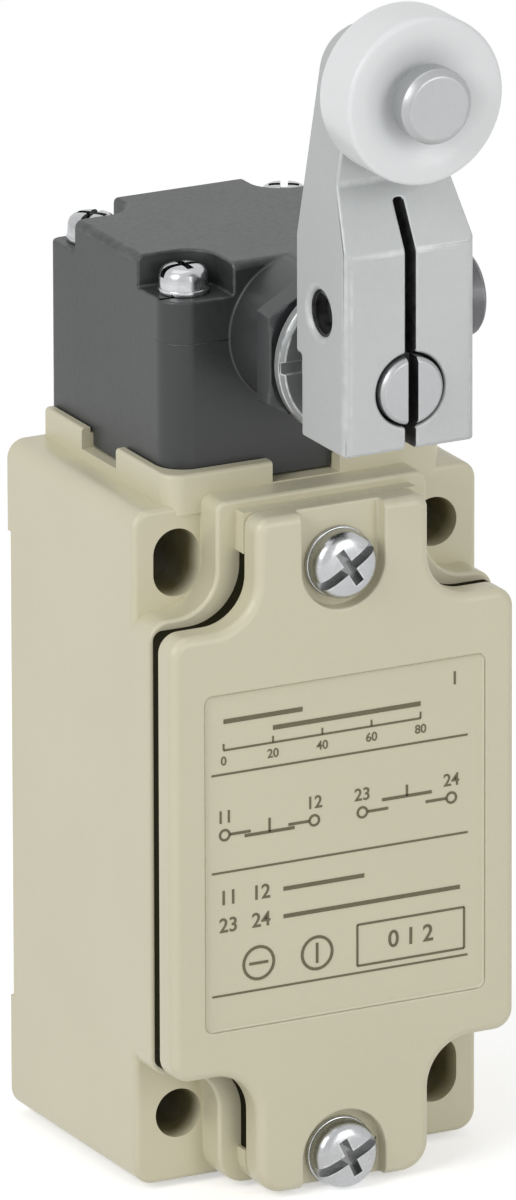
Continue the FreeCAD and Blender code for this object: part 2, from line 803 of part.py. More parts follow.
def make_clamp_bolt():
    seat = lever_half_width - clamp_head_sink
    head = cylinder_x(clamp_head_r, seat, clamp_head_end_x, clamp_y, clamp_z)
    edge = [e for e in head.Edges if e.BoundBox.XLength < 1e-6 and e.BoundBox.XMin > seat + 0.1]
    head = head.makeChamfer(0.4, edge)
    shank = cylinder_x(clamp_thread_r, -lever_half_width + 2.2, seat, clamp_y, clamp_z)
    body = head.fuse(shank)
    reach = clamp_socket_flats / math.sqrt(3.0)
    corners = []
    for i in range(6):
        angle = math.radians(60 * i)
        corners.append((clamp_y + reach * math.cos(angle), clamp_z + reach * math.sin(angle), 0))
    return body.cut(prism_x(corners, clamp_head_end_x - 2.4, clamp_head_end_x + 1.0))


def make_shaft():
    front = cylinder_y(shaft_r, shaft_end_y, cam_y[1] + 0.8, 0, shaft_z)
    ends = flat_edges(front, "Y", shaft_end_y)
    front = front.makeChamfer(0.4, ends)
    rear = cylinder_y(journal_r, cam_y[1] + 0.8, rear_bush_y - 0.4, 0, shaft_z)
    body = front.fuse(rear)
    half = lever_slit_width / 2
    body = body.cut(box(-half, half, shaft_end_y - 1.0, shaft_end_y + shaft_slot_depth,
                        shaft_z - 10.0, shaft_z + 10.0))
    # flat that the clamp bolt passes, groove of the clip and hole of the cam pin
    body = body.cut(box(-4.0, 4.0, clamp_y - 3.0, clamp_y + 3.0, clamp_z - 4.4, clamp_z))
    groove_y = head_y - head_cavity_half_y
    groove_start = groove_y + 0.1 - clip_play
    groove_end = groove_y + 0.1 + clip_thickness + clip_play
    groove = cylinder_y(shaft_r + 1.0, groove_start, groove_end, 0, shaft_z)
    core = cylinder_y(shaft_r - clip_groove_depth, groove_y, groove_y + 1.0, 0, shaft_z)
    body = body.cut(groove.cut(core))
    middle = (cam_y[0] + cam_y[1]) / 2
    return body.cut(cylinder_z(cam_pin_r + fit_gap, shaft_z - 10.0, shaft_z + 10.0, 0, middle))


def make_shaft_clip():
    start = head_y - head_cavity_half_y + 0.1
    body = cylinder_y(clip_r + 0.6, start, start + clip_thickness, 0, shaft_z)
    inner_r = shaft_r - clip_groove_depth + fit_gap
    body = body.cut(cylinder_y(inner_r, start, start + clip_thickness, 0, shaft_z))
    return body.cut(box(-2.2, 2.2, start - 1.0, start + 2.0, shaft_z, shaft_z + 10.0))


def make_indicator_disc():
    plate = cylinder_y(disc_r, disc_y[0], disc_y[1], 0, shaft_z)
    outer = flat_edges(plate, "Y", disc_y[0]) + flat_edges(plate, "Y", disc_y[1])
    plate = plate.makeChamfer(disc_bevel, outer)
    hub = cylinder_y(disc_hub_r, lever_rear_y, disc_y[0], 0, shaft_z)
    body = plate.fuse(hub)
    body = body.cut(cylinder_y(shaft_r + fit_gap, lever_rear_y - 1.0, disc_y[1] + 1.0, 0, shaft_z))
    mark = box(-0.6, 0.6, disc_y[0] - 0.1, disc_y[0] + indicator_mark_depth,
               disc_hub_r + 0.6, disc_r + 1.0)
    mark.translate(V(0, 0, shaft_z))
    for angle in (0, 90, 180, 270):
        cutter = mark.copy()
        cutter.rotate(V(0, 0, shaft_z), V(0, 1, 0), angle)
        body = body.cut(cutter)
    return body


def make_cam():
    body = cylinder_y(cam_r, cam_y[0], cam_y[1], 0, shaft_z)
    body = body.cut(box(-10.0, 10.0, cam_y[0] - 1.0, cam_y[1] + 1.0, shaft_z - 10.0, shaft_z - cam_flat))
    body = body.cut(cylinder_y(shaft_r + fit_gap, cam_y[0] - 1.0, cam_y[1] + 1.0, 0, shaft_z))
    middle = (cam_y[0] + cam_y[1]) / 2
    return body.cut(cylinder_z(cam_pin_r + fit_gap, shaft_z - 10.0, shaft_z + 10.0, 0, middle))


def make_cam_pin():
    middle = (cam_y[0] + cam_y[1]) / 2
    return cylinder_z(cam_pin_r, shaft_z - cam_flat + 0.3, shaft_z + cam_r - 0.3, 0, middle)


def make_roller():
    tip_z = shaft_z + lever_radius
    back = lever_arm_front_y - roller_gap
    front = back - roller_width
    body = cylinder_y(roller_r, front, back, 0, tip_z)
    rims = flat_edges(body, "Y", front) + flat_edges(body, "Y", back)
    body = body.makeFillet(roller_edge_r, rims)
    body = body.cut(cylinder_y(pin_r + pin_clearance, front - 1.0, back + 1.0, 0, tip_z))
    body = body.cut(cone_y(roller_dish_r, pin_r, front, front + roller_dish_depth, 0, tip_z))
    return body


def make_roller_pin():
    tip_z = shaft_z + lever_radius
    back = lever_arm_front_y - roller_gap
    seat = back - roller_width - 0.12
    end = seat - pin_head_height
    head = cylinder_y(pin_head_r, end, seat, 0, tip_z)
    head = head.makeChamfer(pin_head_chamfer, flat_edges(head, "Y", end))
    collar = cylinder_y(pin_r + 1.2, back + 0.02, lever_arm_front_y, 0, tip_z)
    shank = cylinder_y(pin_r, seat, lever_rear_y, 0, tip_z)
    rivet = cylinder_y(pin_r + 1.0, lever_rear_y, lever_rear_y + 0.7, 0, tip_z)
    rivet = rivet.makeChamfer(0.3, flat_edges(rivet, "Y", lever_rear_y + 0.7))
    return head.fuse(shank).fuse(rivet).fuse(collar)


# ---------------------------------------------------------------- plunger
def make_plunger():
    low = plunger_top_z - plunger_flange_thickness
    flange = cylinder_z(plunger_flange_r, low, plunger_top_z, 0, head_y)
    flange = flange.makeChamfer(0.3, flat_edges(flange, "Z", plunger_top_z))
    stem = cylinder_z(plunger_stem_r, plunger_end_z, low, 0, head_y)
    stem = stem.makeChamfer(0.4, flat_edges(stem, "Z", plunger_end_z))
    return flange.fuse(stem)


def make_plunger_guide():
    hx = head_cavity_half_x - 0.02
    hy = head_cavity_half_y - 0.02
    plate = prism_z(rectangle(-hx, hx, head_y - hy, head_y + hy, 1.0),
                    neck_top_z, neck_top_z + guide_plate_thickness)
    sleeve = cylinder_z(guide_sleeve_r, guide_sleeve_end_z, neck_top_z, 0, head_y)
    body = plate.fuse(sleeve)
    bore_r = plunger_stem_r + running_clearance
    bore = cylinder_z(bore_r, guide_sleeve_end_z - 1.0, neck_top_z + 5.0, 0, head_y)
    return body.cut(bore)


def make_head_spring():
    low = neck_top_z + guide_plate_thickness
    high = plunger_top_z - plunger_flange_thickness
    return coil(head_spring_r, head_spring_wire_r, low, high, head_spring_turns, 0, head_y)


# ---------------------------------------------------------------- switch
def strip_levels():
    """Heights of the upper and lower contact strips, at their buttons' side."""
    top = bridge_z + bridge_thickness + button_height + contact_gap + button_height
    bottom = bridge_z - button_height - contact_gap - stroke - button_height
    return top, bottom


def strip(side, upper):
    """One fixed contact: a button, a strip through the wall and a terminal plate."""
    top, bottom = strip_levels()
    low = top if upper else bottom - strip_thickness
    high = low + strip_thickness
    a, b = sorted((side * strip_inner_x, side * (terminal_x + terminal_half)))
    arm = box(a, b, head_y - strip_half_width, head_y + strip_half_width, low, high)
    c, d = sorted((side * (terminal_x - terminal_half), side * (terminal_x + terminal_half)))
    leg = box(c, d, case_y[0] - strip_thickness, head_y + strip_half_width, low, high)
    z = upper_terminal_z if upper else lower_terminal_z
    plate = box(c, d, case_y[0] - strip_thickness, case_y[0], min(low, z - 2.6), max(high, z + 2.6))
    body = arm.fuse(leg).fuse(plate)
    x = side * (bridge_half_length - button_r - 0.2)
    if upper:
        button = cylinder_z(button_r, low - button_height, low, x, head_y)
    else:
        button = cylinder_z(button_r, high, high + button_height, x, head_y)
    return body.fuse(button)


def terminals():
    """Each terminal as its number, its side and whether it is an upper one."""
    return [("11", -1, True), ("12", 1, True), ("23", -1, False), ("24", 1, False)]


def terminal_height(upper):
    return upper_terminal_z if upper else lower_terminal_z


def make_switch_case():
    w = case_half_width
    body = box(-w, w, case_y[0], case_y[1], case_z[0], case_z[1])
    upright = [e for e in body.Edges if e.BoundBox.YLength > 5.0]
    body = body.makeFillet(case_edge_r, upright)
    c = chamber_half_width
    body = body.cut(box(-c, c, case_y[0] - 1.0, chamber_y[1], chamber_z[0], chamber_z[1]))
    bore_r = switch_stem_r + running_clearance
    body = body.cut(cylinder_z(bore_r, chamber_z[1] - 1.0, case_z[1] + 1.0, 0, head_y))
    for number, side, upper in terminals():
        body = body.cut(strip(side, upper))
        body = body.cut(cylinder_y(terminal_screw_r + thread_gap, case_y[0] - 1.0,
                                   case_y[0] + terminal_screw_length - 1.0,
                                   side * terminal_x, terminal_height(upper)))
    for x, z in case_screw_places():
        body = body.cut(cylinder_y(case_screw_r + 0.1, case_y[0] - 1.0, case_y[1] + 1.0, x, z))
        body = body.cut(cylinder_y(case_screw_head_r + 0.2, case_y[0] - 1.0, case_y[0] + 3.0, x, z))
    return body


def make_switch_lid():
    c = chamber_half_width
    return box(-c, c, case_y[0], case_y[0] + lid_thickness, chamber_z[0], chamber_z[1])


def make_switch_plunger():
    top = plunger_end_z - switch_stem_gap
    stem = cylinder_z(switch_stem_r, switch_stem_end_z, top, 0, head_y)
    stem = stem.makeChamfer(0.4, flat_edges(stem, "Z", top))
    collar = cylinder_z(spring_seat_r, bridge_z - 2.0, bridge_z, 0, head_y)
    cap_z = bridge_z + bridge_thickness
    cap = cylinder_z(spring_seat_r, cap_z, cap_z + 1.0, 0, head_y)
    return stem.fuse(collar).fuse(cap)


def make_contact_bridge():
    half = bridge_half_length
    body = box(-half, half, head_y - bridge_half_width, head_y + bridge_half_width,
               bridge_z, bridge_z + bridge_thickness)
    body = body.fuse(cylinder_z(spring_seat_r, bridge_z, bridge_z + bridge_thickness, 0, head_y))
    body = body.cut(cylinder_z(switch_stem_r + fit_gap, bridge_z - 1.0, bridge_z + 5.0, 0, head_y))
    for side in (-1, 1):
        x = side * (half - button_r - 0.2)
        body = body.fuse(cylinder_z(button_r, bridge_z + bridge_thickness,
                                    bridge_z + bridge_thickness + button_height, x, head_y))
        body = body.fuse(cylinder_z(button_r, bridge_z - button_height, bridge_z, x, head_y))
    return body


def make_contact_spring():
    return coil(contact_spring_r, contact_spring_wire_r, chamber_z[0], bridge_z - 2.0,
                contact_spring_turns, 0, head_y)


def save_terminals():
    front = case_y[0] - strip_thickness
    for number, side, upper in terminals():
        x = side * terminal_x
        z = terminal_height(upper)
        body = strip(side, upper)
        body = body.cut(cylinder_y(terminal_screw_r + thread_gap, front - 1.0, case_y[0] + 3.0, x, z))
        save("fixed_contact_" + number, body)
        half = clamp_plate_half
        plate = box(x - half, x + half, front - clamp_plate_thickness, front, z - half, z + half)
        plate = plate.cut(cylinder_y(terminal_screw_r + 0.1, front - 2.0, front + 1.0, x, z))
        save("wire_clamp_" + number, plate)
        body = screw(terminal_head_r, terminal_head_height, terminal_screw_r, terminal_screw_length, 0.5,
                     (0.7, 3.0, 1.0))
        save("terminal_screw_" + number, face_front(body, x, front - clamp_plate_thickness, z))


def save_case_screws():
    seat = case_y[0] + 3.0
    length = abs(seat - case_screw_end_y)
    for name, place in zip(("lower", "upper"), case_screw_places()):
        body = screw(case_screw_head_r, case_screw_head_height, case_screw_r, length, 0.5, (0.7, 3.2, 1.0))
        save("case_screw_" + name, face_front(body, place[0], seat, place[1]))


def save_earth_terminal():
    washer = ring(earth_washer_r, earth_screw_r + 0.1, earth_washer_thickness)
    save("earth_washer", face_front(washer, earth_x, earth_boss_y, earth_z))
    seat = earth_boss_y - earth_washer_thickness
    body = screw(earth_head_r, earth_head_height, earth_screw_r, abs(seat - earth_screw_end_y), 0.7,
                 (0.8, 3.8, 1.2))
    save("earth_screw", face_front(body, earth_x, seat, earth_z))


# ---------------------------------------------------------------- write
os.makedirs("parts", exist_ok=True)
save("housing", make_housing())
save("front_cover", make_cover())
save("cover_gasket", make_cover_gasket())
save_cover_screws()
save("head_casing", make_head())
save("head_gasket", make_head_gasket())
save_head_screws()
save("shaft_bush", make_shaft_bush())
save("shaft_seal", make_shaft_seal())
save("rear_bush", make_rear_bush())
save("lever_arm", make_lever())
save("clamp_bolt", make_clamp_bolt())
save("rotary_shaft", make_shaft())
save("shaft_clip", make_shaft_clip())
save("indicator_disc", make_indicator_disc())
save("cam", make_cam())
save("cam_pin", make_cam_pin())
save("roller", make_roller())
save("roller_pin", make_roller_pin())
save("head_plunger", make_plunger())
save("plunger_guide", make_plunger_guide())
save("head_spring", make_head_spring())
save("switch_case", make_switch_case())
save("switch_lid", make_switch_lid())
save("switch_plunger", make_switch_plunger())
save("contact_bridge", make_contact_bridge())
save("contact_spring", make_contact_spring())
save_terminals()
save_case_screws()
save_earth_terminal()
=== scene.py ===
import json
import math

import bmesh
import bpy
from mathutils import Matrix, Vector

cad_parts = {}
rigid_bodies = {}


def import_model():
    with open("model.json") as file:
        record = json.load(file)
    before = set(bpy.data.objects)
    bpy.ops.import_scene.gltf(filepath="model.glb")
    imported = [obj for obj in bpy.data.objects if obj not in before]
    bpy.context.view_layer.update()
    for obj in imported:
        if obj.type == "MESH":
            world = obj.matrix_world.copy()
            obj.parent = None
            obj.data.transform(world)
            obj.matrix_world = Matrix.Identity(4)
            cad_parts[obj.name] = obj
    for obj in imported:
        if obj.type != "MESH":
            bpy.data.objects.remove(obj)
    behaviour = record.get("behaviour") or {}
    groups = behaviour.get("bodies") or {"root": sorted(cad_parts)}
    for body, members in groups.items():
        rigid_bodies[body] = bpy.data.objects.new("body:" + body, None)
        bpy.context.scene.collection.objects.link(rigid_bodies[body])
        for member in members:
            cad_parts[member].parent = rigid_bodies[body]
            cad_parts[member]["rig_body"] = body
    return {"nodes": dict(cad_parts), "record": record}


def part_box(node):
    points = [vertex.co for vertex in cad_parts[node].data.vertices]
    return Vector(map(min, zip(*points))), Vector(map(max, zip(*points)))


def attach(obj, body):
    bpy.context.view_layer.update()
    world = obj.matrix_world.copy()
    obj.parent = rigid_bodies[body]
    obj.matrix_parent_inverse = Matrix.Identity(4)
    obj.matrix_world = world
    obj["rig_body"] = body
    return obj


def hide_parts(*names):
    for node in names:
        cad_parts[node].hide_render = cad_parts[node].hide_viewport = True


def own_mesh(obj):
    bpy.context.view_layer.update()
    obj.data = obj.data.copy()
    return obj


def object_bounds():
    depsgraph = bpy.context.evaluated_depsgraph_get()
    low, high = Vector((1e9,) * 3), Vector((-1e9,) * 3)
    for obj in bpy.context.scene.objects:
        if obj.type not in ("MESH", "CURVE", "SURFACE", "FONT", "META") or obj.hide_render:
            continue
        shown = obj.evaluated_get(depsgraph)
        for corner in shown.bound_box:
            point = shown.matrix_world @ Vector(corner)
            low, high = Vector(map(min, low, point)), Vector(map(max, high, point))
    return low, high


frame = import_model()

CAD_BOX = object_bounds()
NODES = frame["nodes"]
MM = 0.001

# ---------------------------------------------------------------- camera
AZIMUTH = math.radians(27.275)
ELEVATION = math.radians(17.784)
CAMERA_DISTANCE = 2.0
CAMERA_LENS = 577.9
CAMERA_TARGET = Vector((0.0, -0.020, 0.020))
FRAMING = (-0.0007948, 0.0010849)
CAMERA_ROLL = math.radians(0.1633)


def make_camera():
    right = Vector((math.cos(AZIMUTH), -math.sin(AZIMUTH), 0))
    up = Vector((math.sin(AZIMUTH) * math.sin(ELEVATION), math.cos(AZIMUTH) * math.sin(ELEVATION),
                 math.cos(ELEVATION)))
    back = right.cross(up)
    turn = Matrix.Rotation(-CAMERA_ROLL, 3, back)
    right, up = turn @ right, turn @ up
    place = CAMERA_TARGET + back * CAMERA_DISTANCE + right * FRAMING[0] + up * FRAMING[1]
    data = bpy.data.cameras.new("camera")
    data.lens = CAMERA_LENS
    data.sensor_width = 36.0
    data.clip_end = 20.0
    camera = bpy.data.objects.new("camera", data)
    camera.matrix_world = Matrix.Translation(place) @ Matrix((right, up, back)).transposed().to_4x4()
    bpy.context.scene.collection.objects.link(camera)
    bpy.context.scene.camera = camera


make_camera()

# ---------------------------------------------------------------- studio
FLOOR_Z = CAD_BOX[0][2]
SOFTBOXES = [
    # name, place, size, power in watts
    ("key_softbox", (-0.95, -0.35, 0.62), (0.55, 0.55), 5.0),
    ("front_softbox", (0.30, -1.0, 0.32), (0.5, 0.6), 2.5),
    ("top_softbox", (-0.1, 0.15, 0.9), (0.7, 0.6), 0.9),
]
WORLD_STRENGTH = 0.42
FLOOR_HALF_WIDTH = 3.0
FLOOR_TONE = (0.86, 0.86, 0.86, 1)
FLOOR_GLOW = 0.47
WHITE = (1, 1, 1, 1)


def link_nodes(tree, kind, sources=None, **settings):
    """Adds a node; sources gives a value or another node's output for its sockets."""
    node = tree.nodes.new(kind)
    for key, value in settings.items():
        setattr(node, key, value)
    for key, value in (sources or {}).items():
        socket = node.inputs[key]
        if isinstance(value, bpy.types.NodeSocket):
            tree.links.new(value, socket)
        else:
            socket.default_value = value
    return node


def calculate(tree, operation, *values):
    """The output of one arithmetic step on numbers or on other nodes' outputs."""
    return link_nodes(tree, "ShaderNodeMath", dict(enumerate(values)), operation=operation).outputs[0]


def softbox(name, place, size, power):
    data = bpy.data.lights.new(name, "AREA")
    data.shape = "RECTANGLE"
    data.size, data.size_y = size
    data.energy = power
    lamp = bpy.data.objects.new(name, data)
    lamp.location = place
    lamp.rotation_euler = (CAMERA_TARGET - Vector(place)).to_track_quat("-Z", "Y").to_euler()
    bpy.context.scene.collection.objects.link(lamp)


def seen_directly(tree):
    """1 for camera, glossy and transmission rays, else 0."""
    path = link_nodes(tree, "ShaderNodeLightPath").outputs
    either = calculate(tree, "MAXIMUM", path["Is Camera Ray"], path["Is Glossy Ray"])
    return calculate(tree, "MAXIMUM", either, path["Is Transmission Ray"])


def make_world():
    world = bpy.data.worlds.new("studio")
    world.use_nodes = True
    tree = world.node_tree
    tree.nodes.clear()
    soft = link_nodes(tree, "ShaderNodeBackground", {"Color": WHITE, "Strength": WORLD_STRENGTH})
    white = link_nodes(tree, "ShaderNodeBackground", {"Color": WHITE, "Strength": 1.0})
    mix = link_nodes(tree, "ShaderNodeMixShader", {0: seen_directly(tree), 1: soft.outputs[0],
                                                  2: white.outputs[0]})
    link_nodes(tree, "ShaderNodeOutputWorld", {"Surface": mix.outputs[0]})
    bpy.context.scene.world = world


def make_floor():
    bm = bmesh.new()
    bmesh.ops.create_grid(bm, x_segments=1, y_segments=1, size=FLOOR_HALF_WIDTH)
    mesh = bpy.data.meshes.new("floor")
    bm.to_mesh(mesh)
    bm.free()
    for vertex in mesh.vertices:
        vertex.co.z = FLOOR_Z
    floor = bpy.data.objects.new("floor", mesh)
    bpy.context.scene.collection.objects.link(floor)
    material = bpy.data.materials.new("pale_floor")
    material.use_nodes = True
    tree = material.node_tree
    shader = tree.nodes["Principled BSDF"]
    shader.inputs["Base Color"].default_value = FLOOR_TONE
    shader.inputs["Roughness"].default_value = 0.9
    shader.inputs["Specular IOR Level"].default_value = 0.1
    glow = link_nodes(tree, "ShaderNodeEmission", {"Color": WHITE, "Strength": FLOOR_GLOW})
    lit = link_nodes(tree, "ShaderNodeAddShader", {0: shader.outputs[0], 1: glow.outputs[0]})
    mix = link_nodes(tree, "ShaderNodeMixShader", {0: seen_directly(tree), 1: shader.outputs[0],
                                                  2: lit.outputs[0]})
    tree.links.new(mix.outputs[0], tree.nodes["Material Output"].inputs["Surface"])
    mesh.materials.append(material)


def make_studio():
    for name, place, size, power in SOFTBOXES:
        softbox(name, place, size, power)
    make_world()
    make_floor()


make_studio()
bpy.context.scene.view_settings.view_transform = "Standard"


# ---------------------------------------------------------------- effects shared by finishes
def new_tree(name, kind, inputs, outputs):
    """A node group with named inputs and outputs, and its two end nodes."""
    tree = bpy.data.node_groups.new(name, kind)
    for label, socket_type, value in inputs:
        socket = tree.interface.new_socket(label, in_out="INPUT", socket_type=socket_type)
        if value is not None:
            socket.default_value = value
    for label, socket_type in outputs:
        tree.interface.new_socket(label, in_out="OUTPUT", socket_type=socket_type)
    return tree, tree.nodes.new("NodeGroupInput").outputs, tree.nodes.new("NodeGroupOutput")


FLOAT, COLOR, VECTOR = "NodeSocketFloat", "NodeSocketColor", "NodeSocketVector"
INTEGER, MATERIAL, GEOMETRY = "NodeSocketInt", "NodeSocketMaterial", "NodeSocketGeometry"
BUMP_DEPTH = 0.05 * MM
MARK_DEPTH = 0.02 * MM
HOLE_SHADE_DEPTH = 2.5 * MM


def object_place(tree):
    return link_nodes(tree, "ShaderNodeTexCoord").outputs["Object"]


def noise(tree, place, scale, detail, roughness=0.5):
    return link_nodes(tree, "ShaderNodeTexNoise", {
        "Vector": place, "Scale": scale, "Detail": detail, "Roughness": roughness}).outputs["Fac"]


def number_between(tree, share, first, second):
    return link_nodes(tree, "ShaderNodeMix", {0: share, 2: first, 3: second}, data_type="FLOAT").outputs[0]


def color_between(tree, share, first, second):
    return link_nodes(tree, "ShaderNodeMix", {0: share, 6: first, 7: second}, data_type="RGBA").outputs[2]


def remapped(tree, value, low, high, to_low=0.0, to_high=1.0):
    """The value taken from the range low to high onto another range, and held inside it."""
    return link_nodes(tree, "ShaderNodeMapRange", {
        "Value": value, "From Min": low, "From Max": high, "To Min": to_low, "To Max": to_high},
        clamp=True).outputs[0]


def make_grain():
    """Fine and coarse grain of a cast, painted or moulded skin, as a normal."""
    tree, given, out = new_tree("surface_grain", "ShaderNodeTree", [
        ("Fine Scale", FLOAT, 3000.0), ("Coarse Scale", FLOAT, 500.0),
        ("Fine Share", FLOAT, 0.6), ("Strength", FLOAT, 0.1),
    ], [("Normal", VECTOR)])
    place = object_place(tree)
    fine = noise(tree, place, given["Fine Scale"], 2.0, 0.6)
    coarse = noise(tree, place, given["Coarse Scale"], 3.0)
    height = number_between(tree, given["Fine Share"], coarse, fine)
    bump = link_nodes(tree, "ShaderNodeBump", {
        "Strength": given["Strength"], "Distance": BUMP_DEPTH, "Height": height})
    tree.links.new(bump.outputs["Normal"], out.inputs["Normal"])
    return tree


def make_drift():
    """Slow change of tone across a surface, with small specks."""
    tree, given, out = new_tree("tone_drift", "ShaderNodeTree", [
        ("Tone A", COLOR, (0.5, 0.5, 0.5, 1)), ("Tone B", COLOR, (0.4, 0.4, 0.4, 1)),
        ("Scale", FLOAT, 60.0), ("Speck Scale", FLOAT, 1800.0), ("Speck Share", FLOAT, 0.2),
    ], [("Color", COLOR), ("Value", FLOAT)])
    place = object_place(tree)
    slow = noise(tree, place, given["Scale"], 4.0, 0.55)
    speck = noise(tree, place, given["Speck Scale"], 1.0)
    level = remapped(tree, number_between(tree, given["Speck Share"], slow, speck), 0.3, 0.7)
    tree.links.new(color_between(tree, level, given["Tone A"], given["Tone B"]), out.inputs["Color"])
    tree.links.new(level, out.inputs["Value"])
    return tree


def make_wear():
    """Lighter rounded edges, partly where handling has rubbed them and partly painted highlight, as a mask
    broken up by noise.
    """
    tree, given, out = new_tree("edge_wear_and_painted_highlight", "ShaderNodeTree", [
        ("Amount", FLOAT, 0.5), ("Scale", FLOAT, 700.0),
    ], [("Mask", FLOAT)])
    edge = link_nodes(tree, "ShaderNodeAttribute", attribute_name="edge").outputs["Fac"]
    patches = remapped(tree, noise(tree, object_place(tree), given["Scale"], 3.0), 0.36, 0.66)
    worn_and_highlit = calculate(tree, "MULTIPLY", patches, edge)
    tree.links.new(calculate(tree, "MULTIPLY", worn_and_highlit, given["Amount"]), out.inputs["Mask"])
    return tree


def make_marks():
    """Tool marks of cut and ground metal: lines drawn out along one axis."""
    tree, given, out = new_tree("tool_marks", "ShaderNodeTree", [
        ("Stretch", VECTOR, (1.0, 1.0, 1.0)), ("Scale", FLOAT, 2500.0),
        ("Low", FLOAT, 0.2), ("High", FLOAT, 0.4), ("Strength", FLOAT, 0.1),
    ], [("Roughness", FLOAT), ("Normal", VECTOR)])
    drawn = link_nodes(tree, "ShaderNodeVectorMath", {0: object_place(tree), 1: given["Stretch"]},
                       operation="MULTIPLY").outputs[0]
    lines = noise(tree, drawn, given["Scale"], 3.0, 0.6)
    rough = remapped(tree, lines, 0.3, 0.7, given["Low"], given["High"])
    bump = link_nodes(tree, "ShaderNodeBump", {
        "Strength": given["Strength"], "Distance": MARK_DEPTH, "Height": lines})
    tree.links.new(rough, out.inputs["Roughness"])
    tree.links.new(bump.outputs["Normal"], out.inputs["Normal"])
    return tree


def make_grime():
    """Painted shade that darkens slits and recesses, read from the attribute "recess"."""
    tree, given, out = new_tree("recess_painted_shade", "ShaderNodeTree", [
        ("Color", COLOR, (0.5, 0.5, 0.5, 1)), ("Painted Shade", COLOR, (0.012, 0.012, 0.012, 1)),
        ("Scale", FLOAT, 900.0), ("Extra Mask", FLOAT, 0.0),
    ], [("Color", COLOR)])
    recess = link_nodes(tree, "ShaderNodeAttribute", attribute_name="recess").outputs["Fac"]
    patches = remapped(tree, noise(tree, object_place(tree), given["Scale"], 2.0), 0.2, 0.8, 0.82, 1.0)
    either = calculate(tree, "MAXIMUM", recess, given["Extra Mask"])
    share = calculate(tree, "MULTIPLY", patches, either)
    tree.links.new(color_between(tree, share, given["Color"], given["Painted Shade"]), out.inputs["Color"])
    return tree


def make_holes():
    """A mask of painted shade on the walls of the four mounting holes, growing with depth below the front
    pads.
    """
    tree, given, out = new_tree("mounting_hole_painted_shade", "ShaderNodeTree", [
        ("Half Pitch X", FLOAT, 0.015), ("Half Pitch Z", FLOAT, 0.030), ("Half Slot", FLOAT, 0.001),
        ("Hole Radius", FLOAT, 0.00273), ("Pad Y", FLOAT, -0.0289),
    ], [("Mask", FLOAT)])
    x, y, z = link_nodes(tree, "ShaderNodeSeparateXYZ", {0: object_place(tree)}).outputs
    across = calculate(tree, "SUBTRACT", calculate(tree, "ABSOLUTE", x), given["Half Pitch X"])
    up = calculate(tree, "SUBTRACT", calculate(tree, "ABSOLUTE", z), given["Half Pitch Z"])
    beyond = calculate(tree, "SUBTRACT", calculate(tree, "ABSOLUTE", up), given["Half Slot"])
    beyond = calculate(tree, "MAXIMUM", beyond, 0.0)
    square = calculate(tree, "ADD", calculate(tree, "MULTIPLY", across, across),
                       calculate(tree, "MULTIPLY", beyond, beyond))
    inside = calculate(tree, "LESS_THAN", calculate(tree, "SQRT", square), given["Hole Radius"])
    dark_y = calculate(tree, "ADD", given["Pad Y"], HOLE_SHADE_DEPTH)
    depth = remapped(tree, y, given["Pad Y"], dark_y)
    tree.links.new(calculate(tree, "MULTIPLY", inside, depth), out.inputs["Mask"])
    return tree


GRAIN, DRIFT, WORN_HIGHLIT_EDGES, MARKS, RECESS_SHADE = make_grain(), make_drift(), make_wear(), make_marks(), make_grime()
PAINTED_HOLE_SHADE = make_holes()


def place_group(tree, group, values):
    node = tree.nodes.new("ShaderNodeGroup")
    node.node_tree = group
    for key, value in values.items():
        if isinstance(value, bpy.types.NodeSocket):
            tree.links.new(value, node.inputs[key])
        else:
            node.inputs[key].default_value = value
    return node.outputs


def rgba(color):
    return (color[0], color[1], color[2], 1.0)


def scaled(color, factor):
    return tuple(min(1.0, channel * factor) for channel in color)


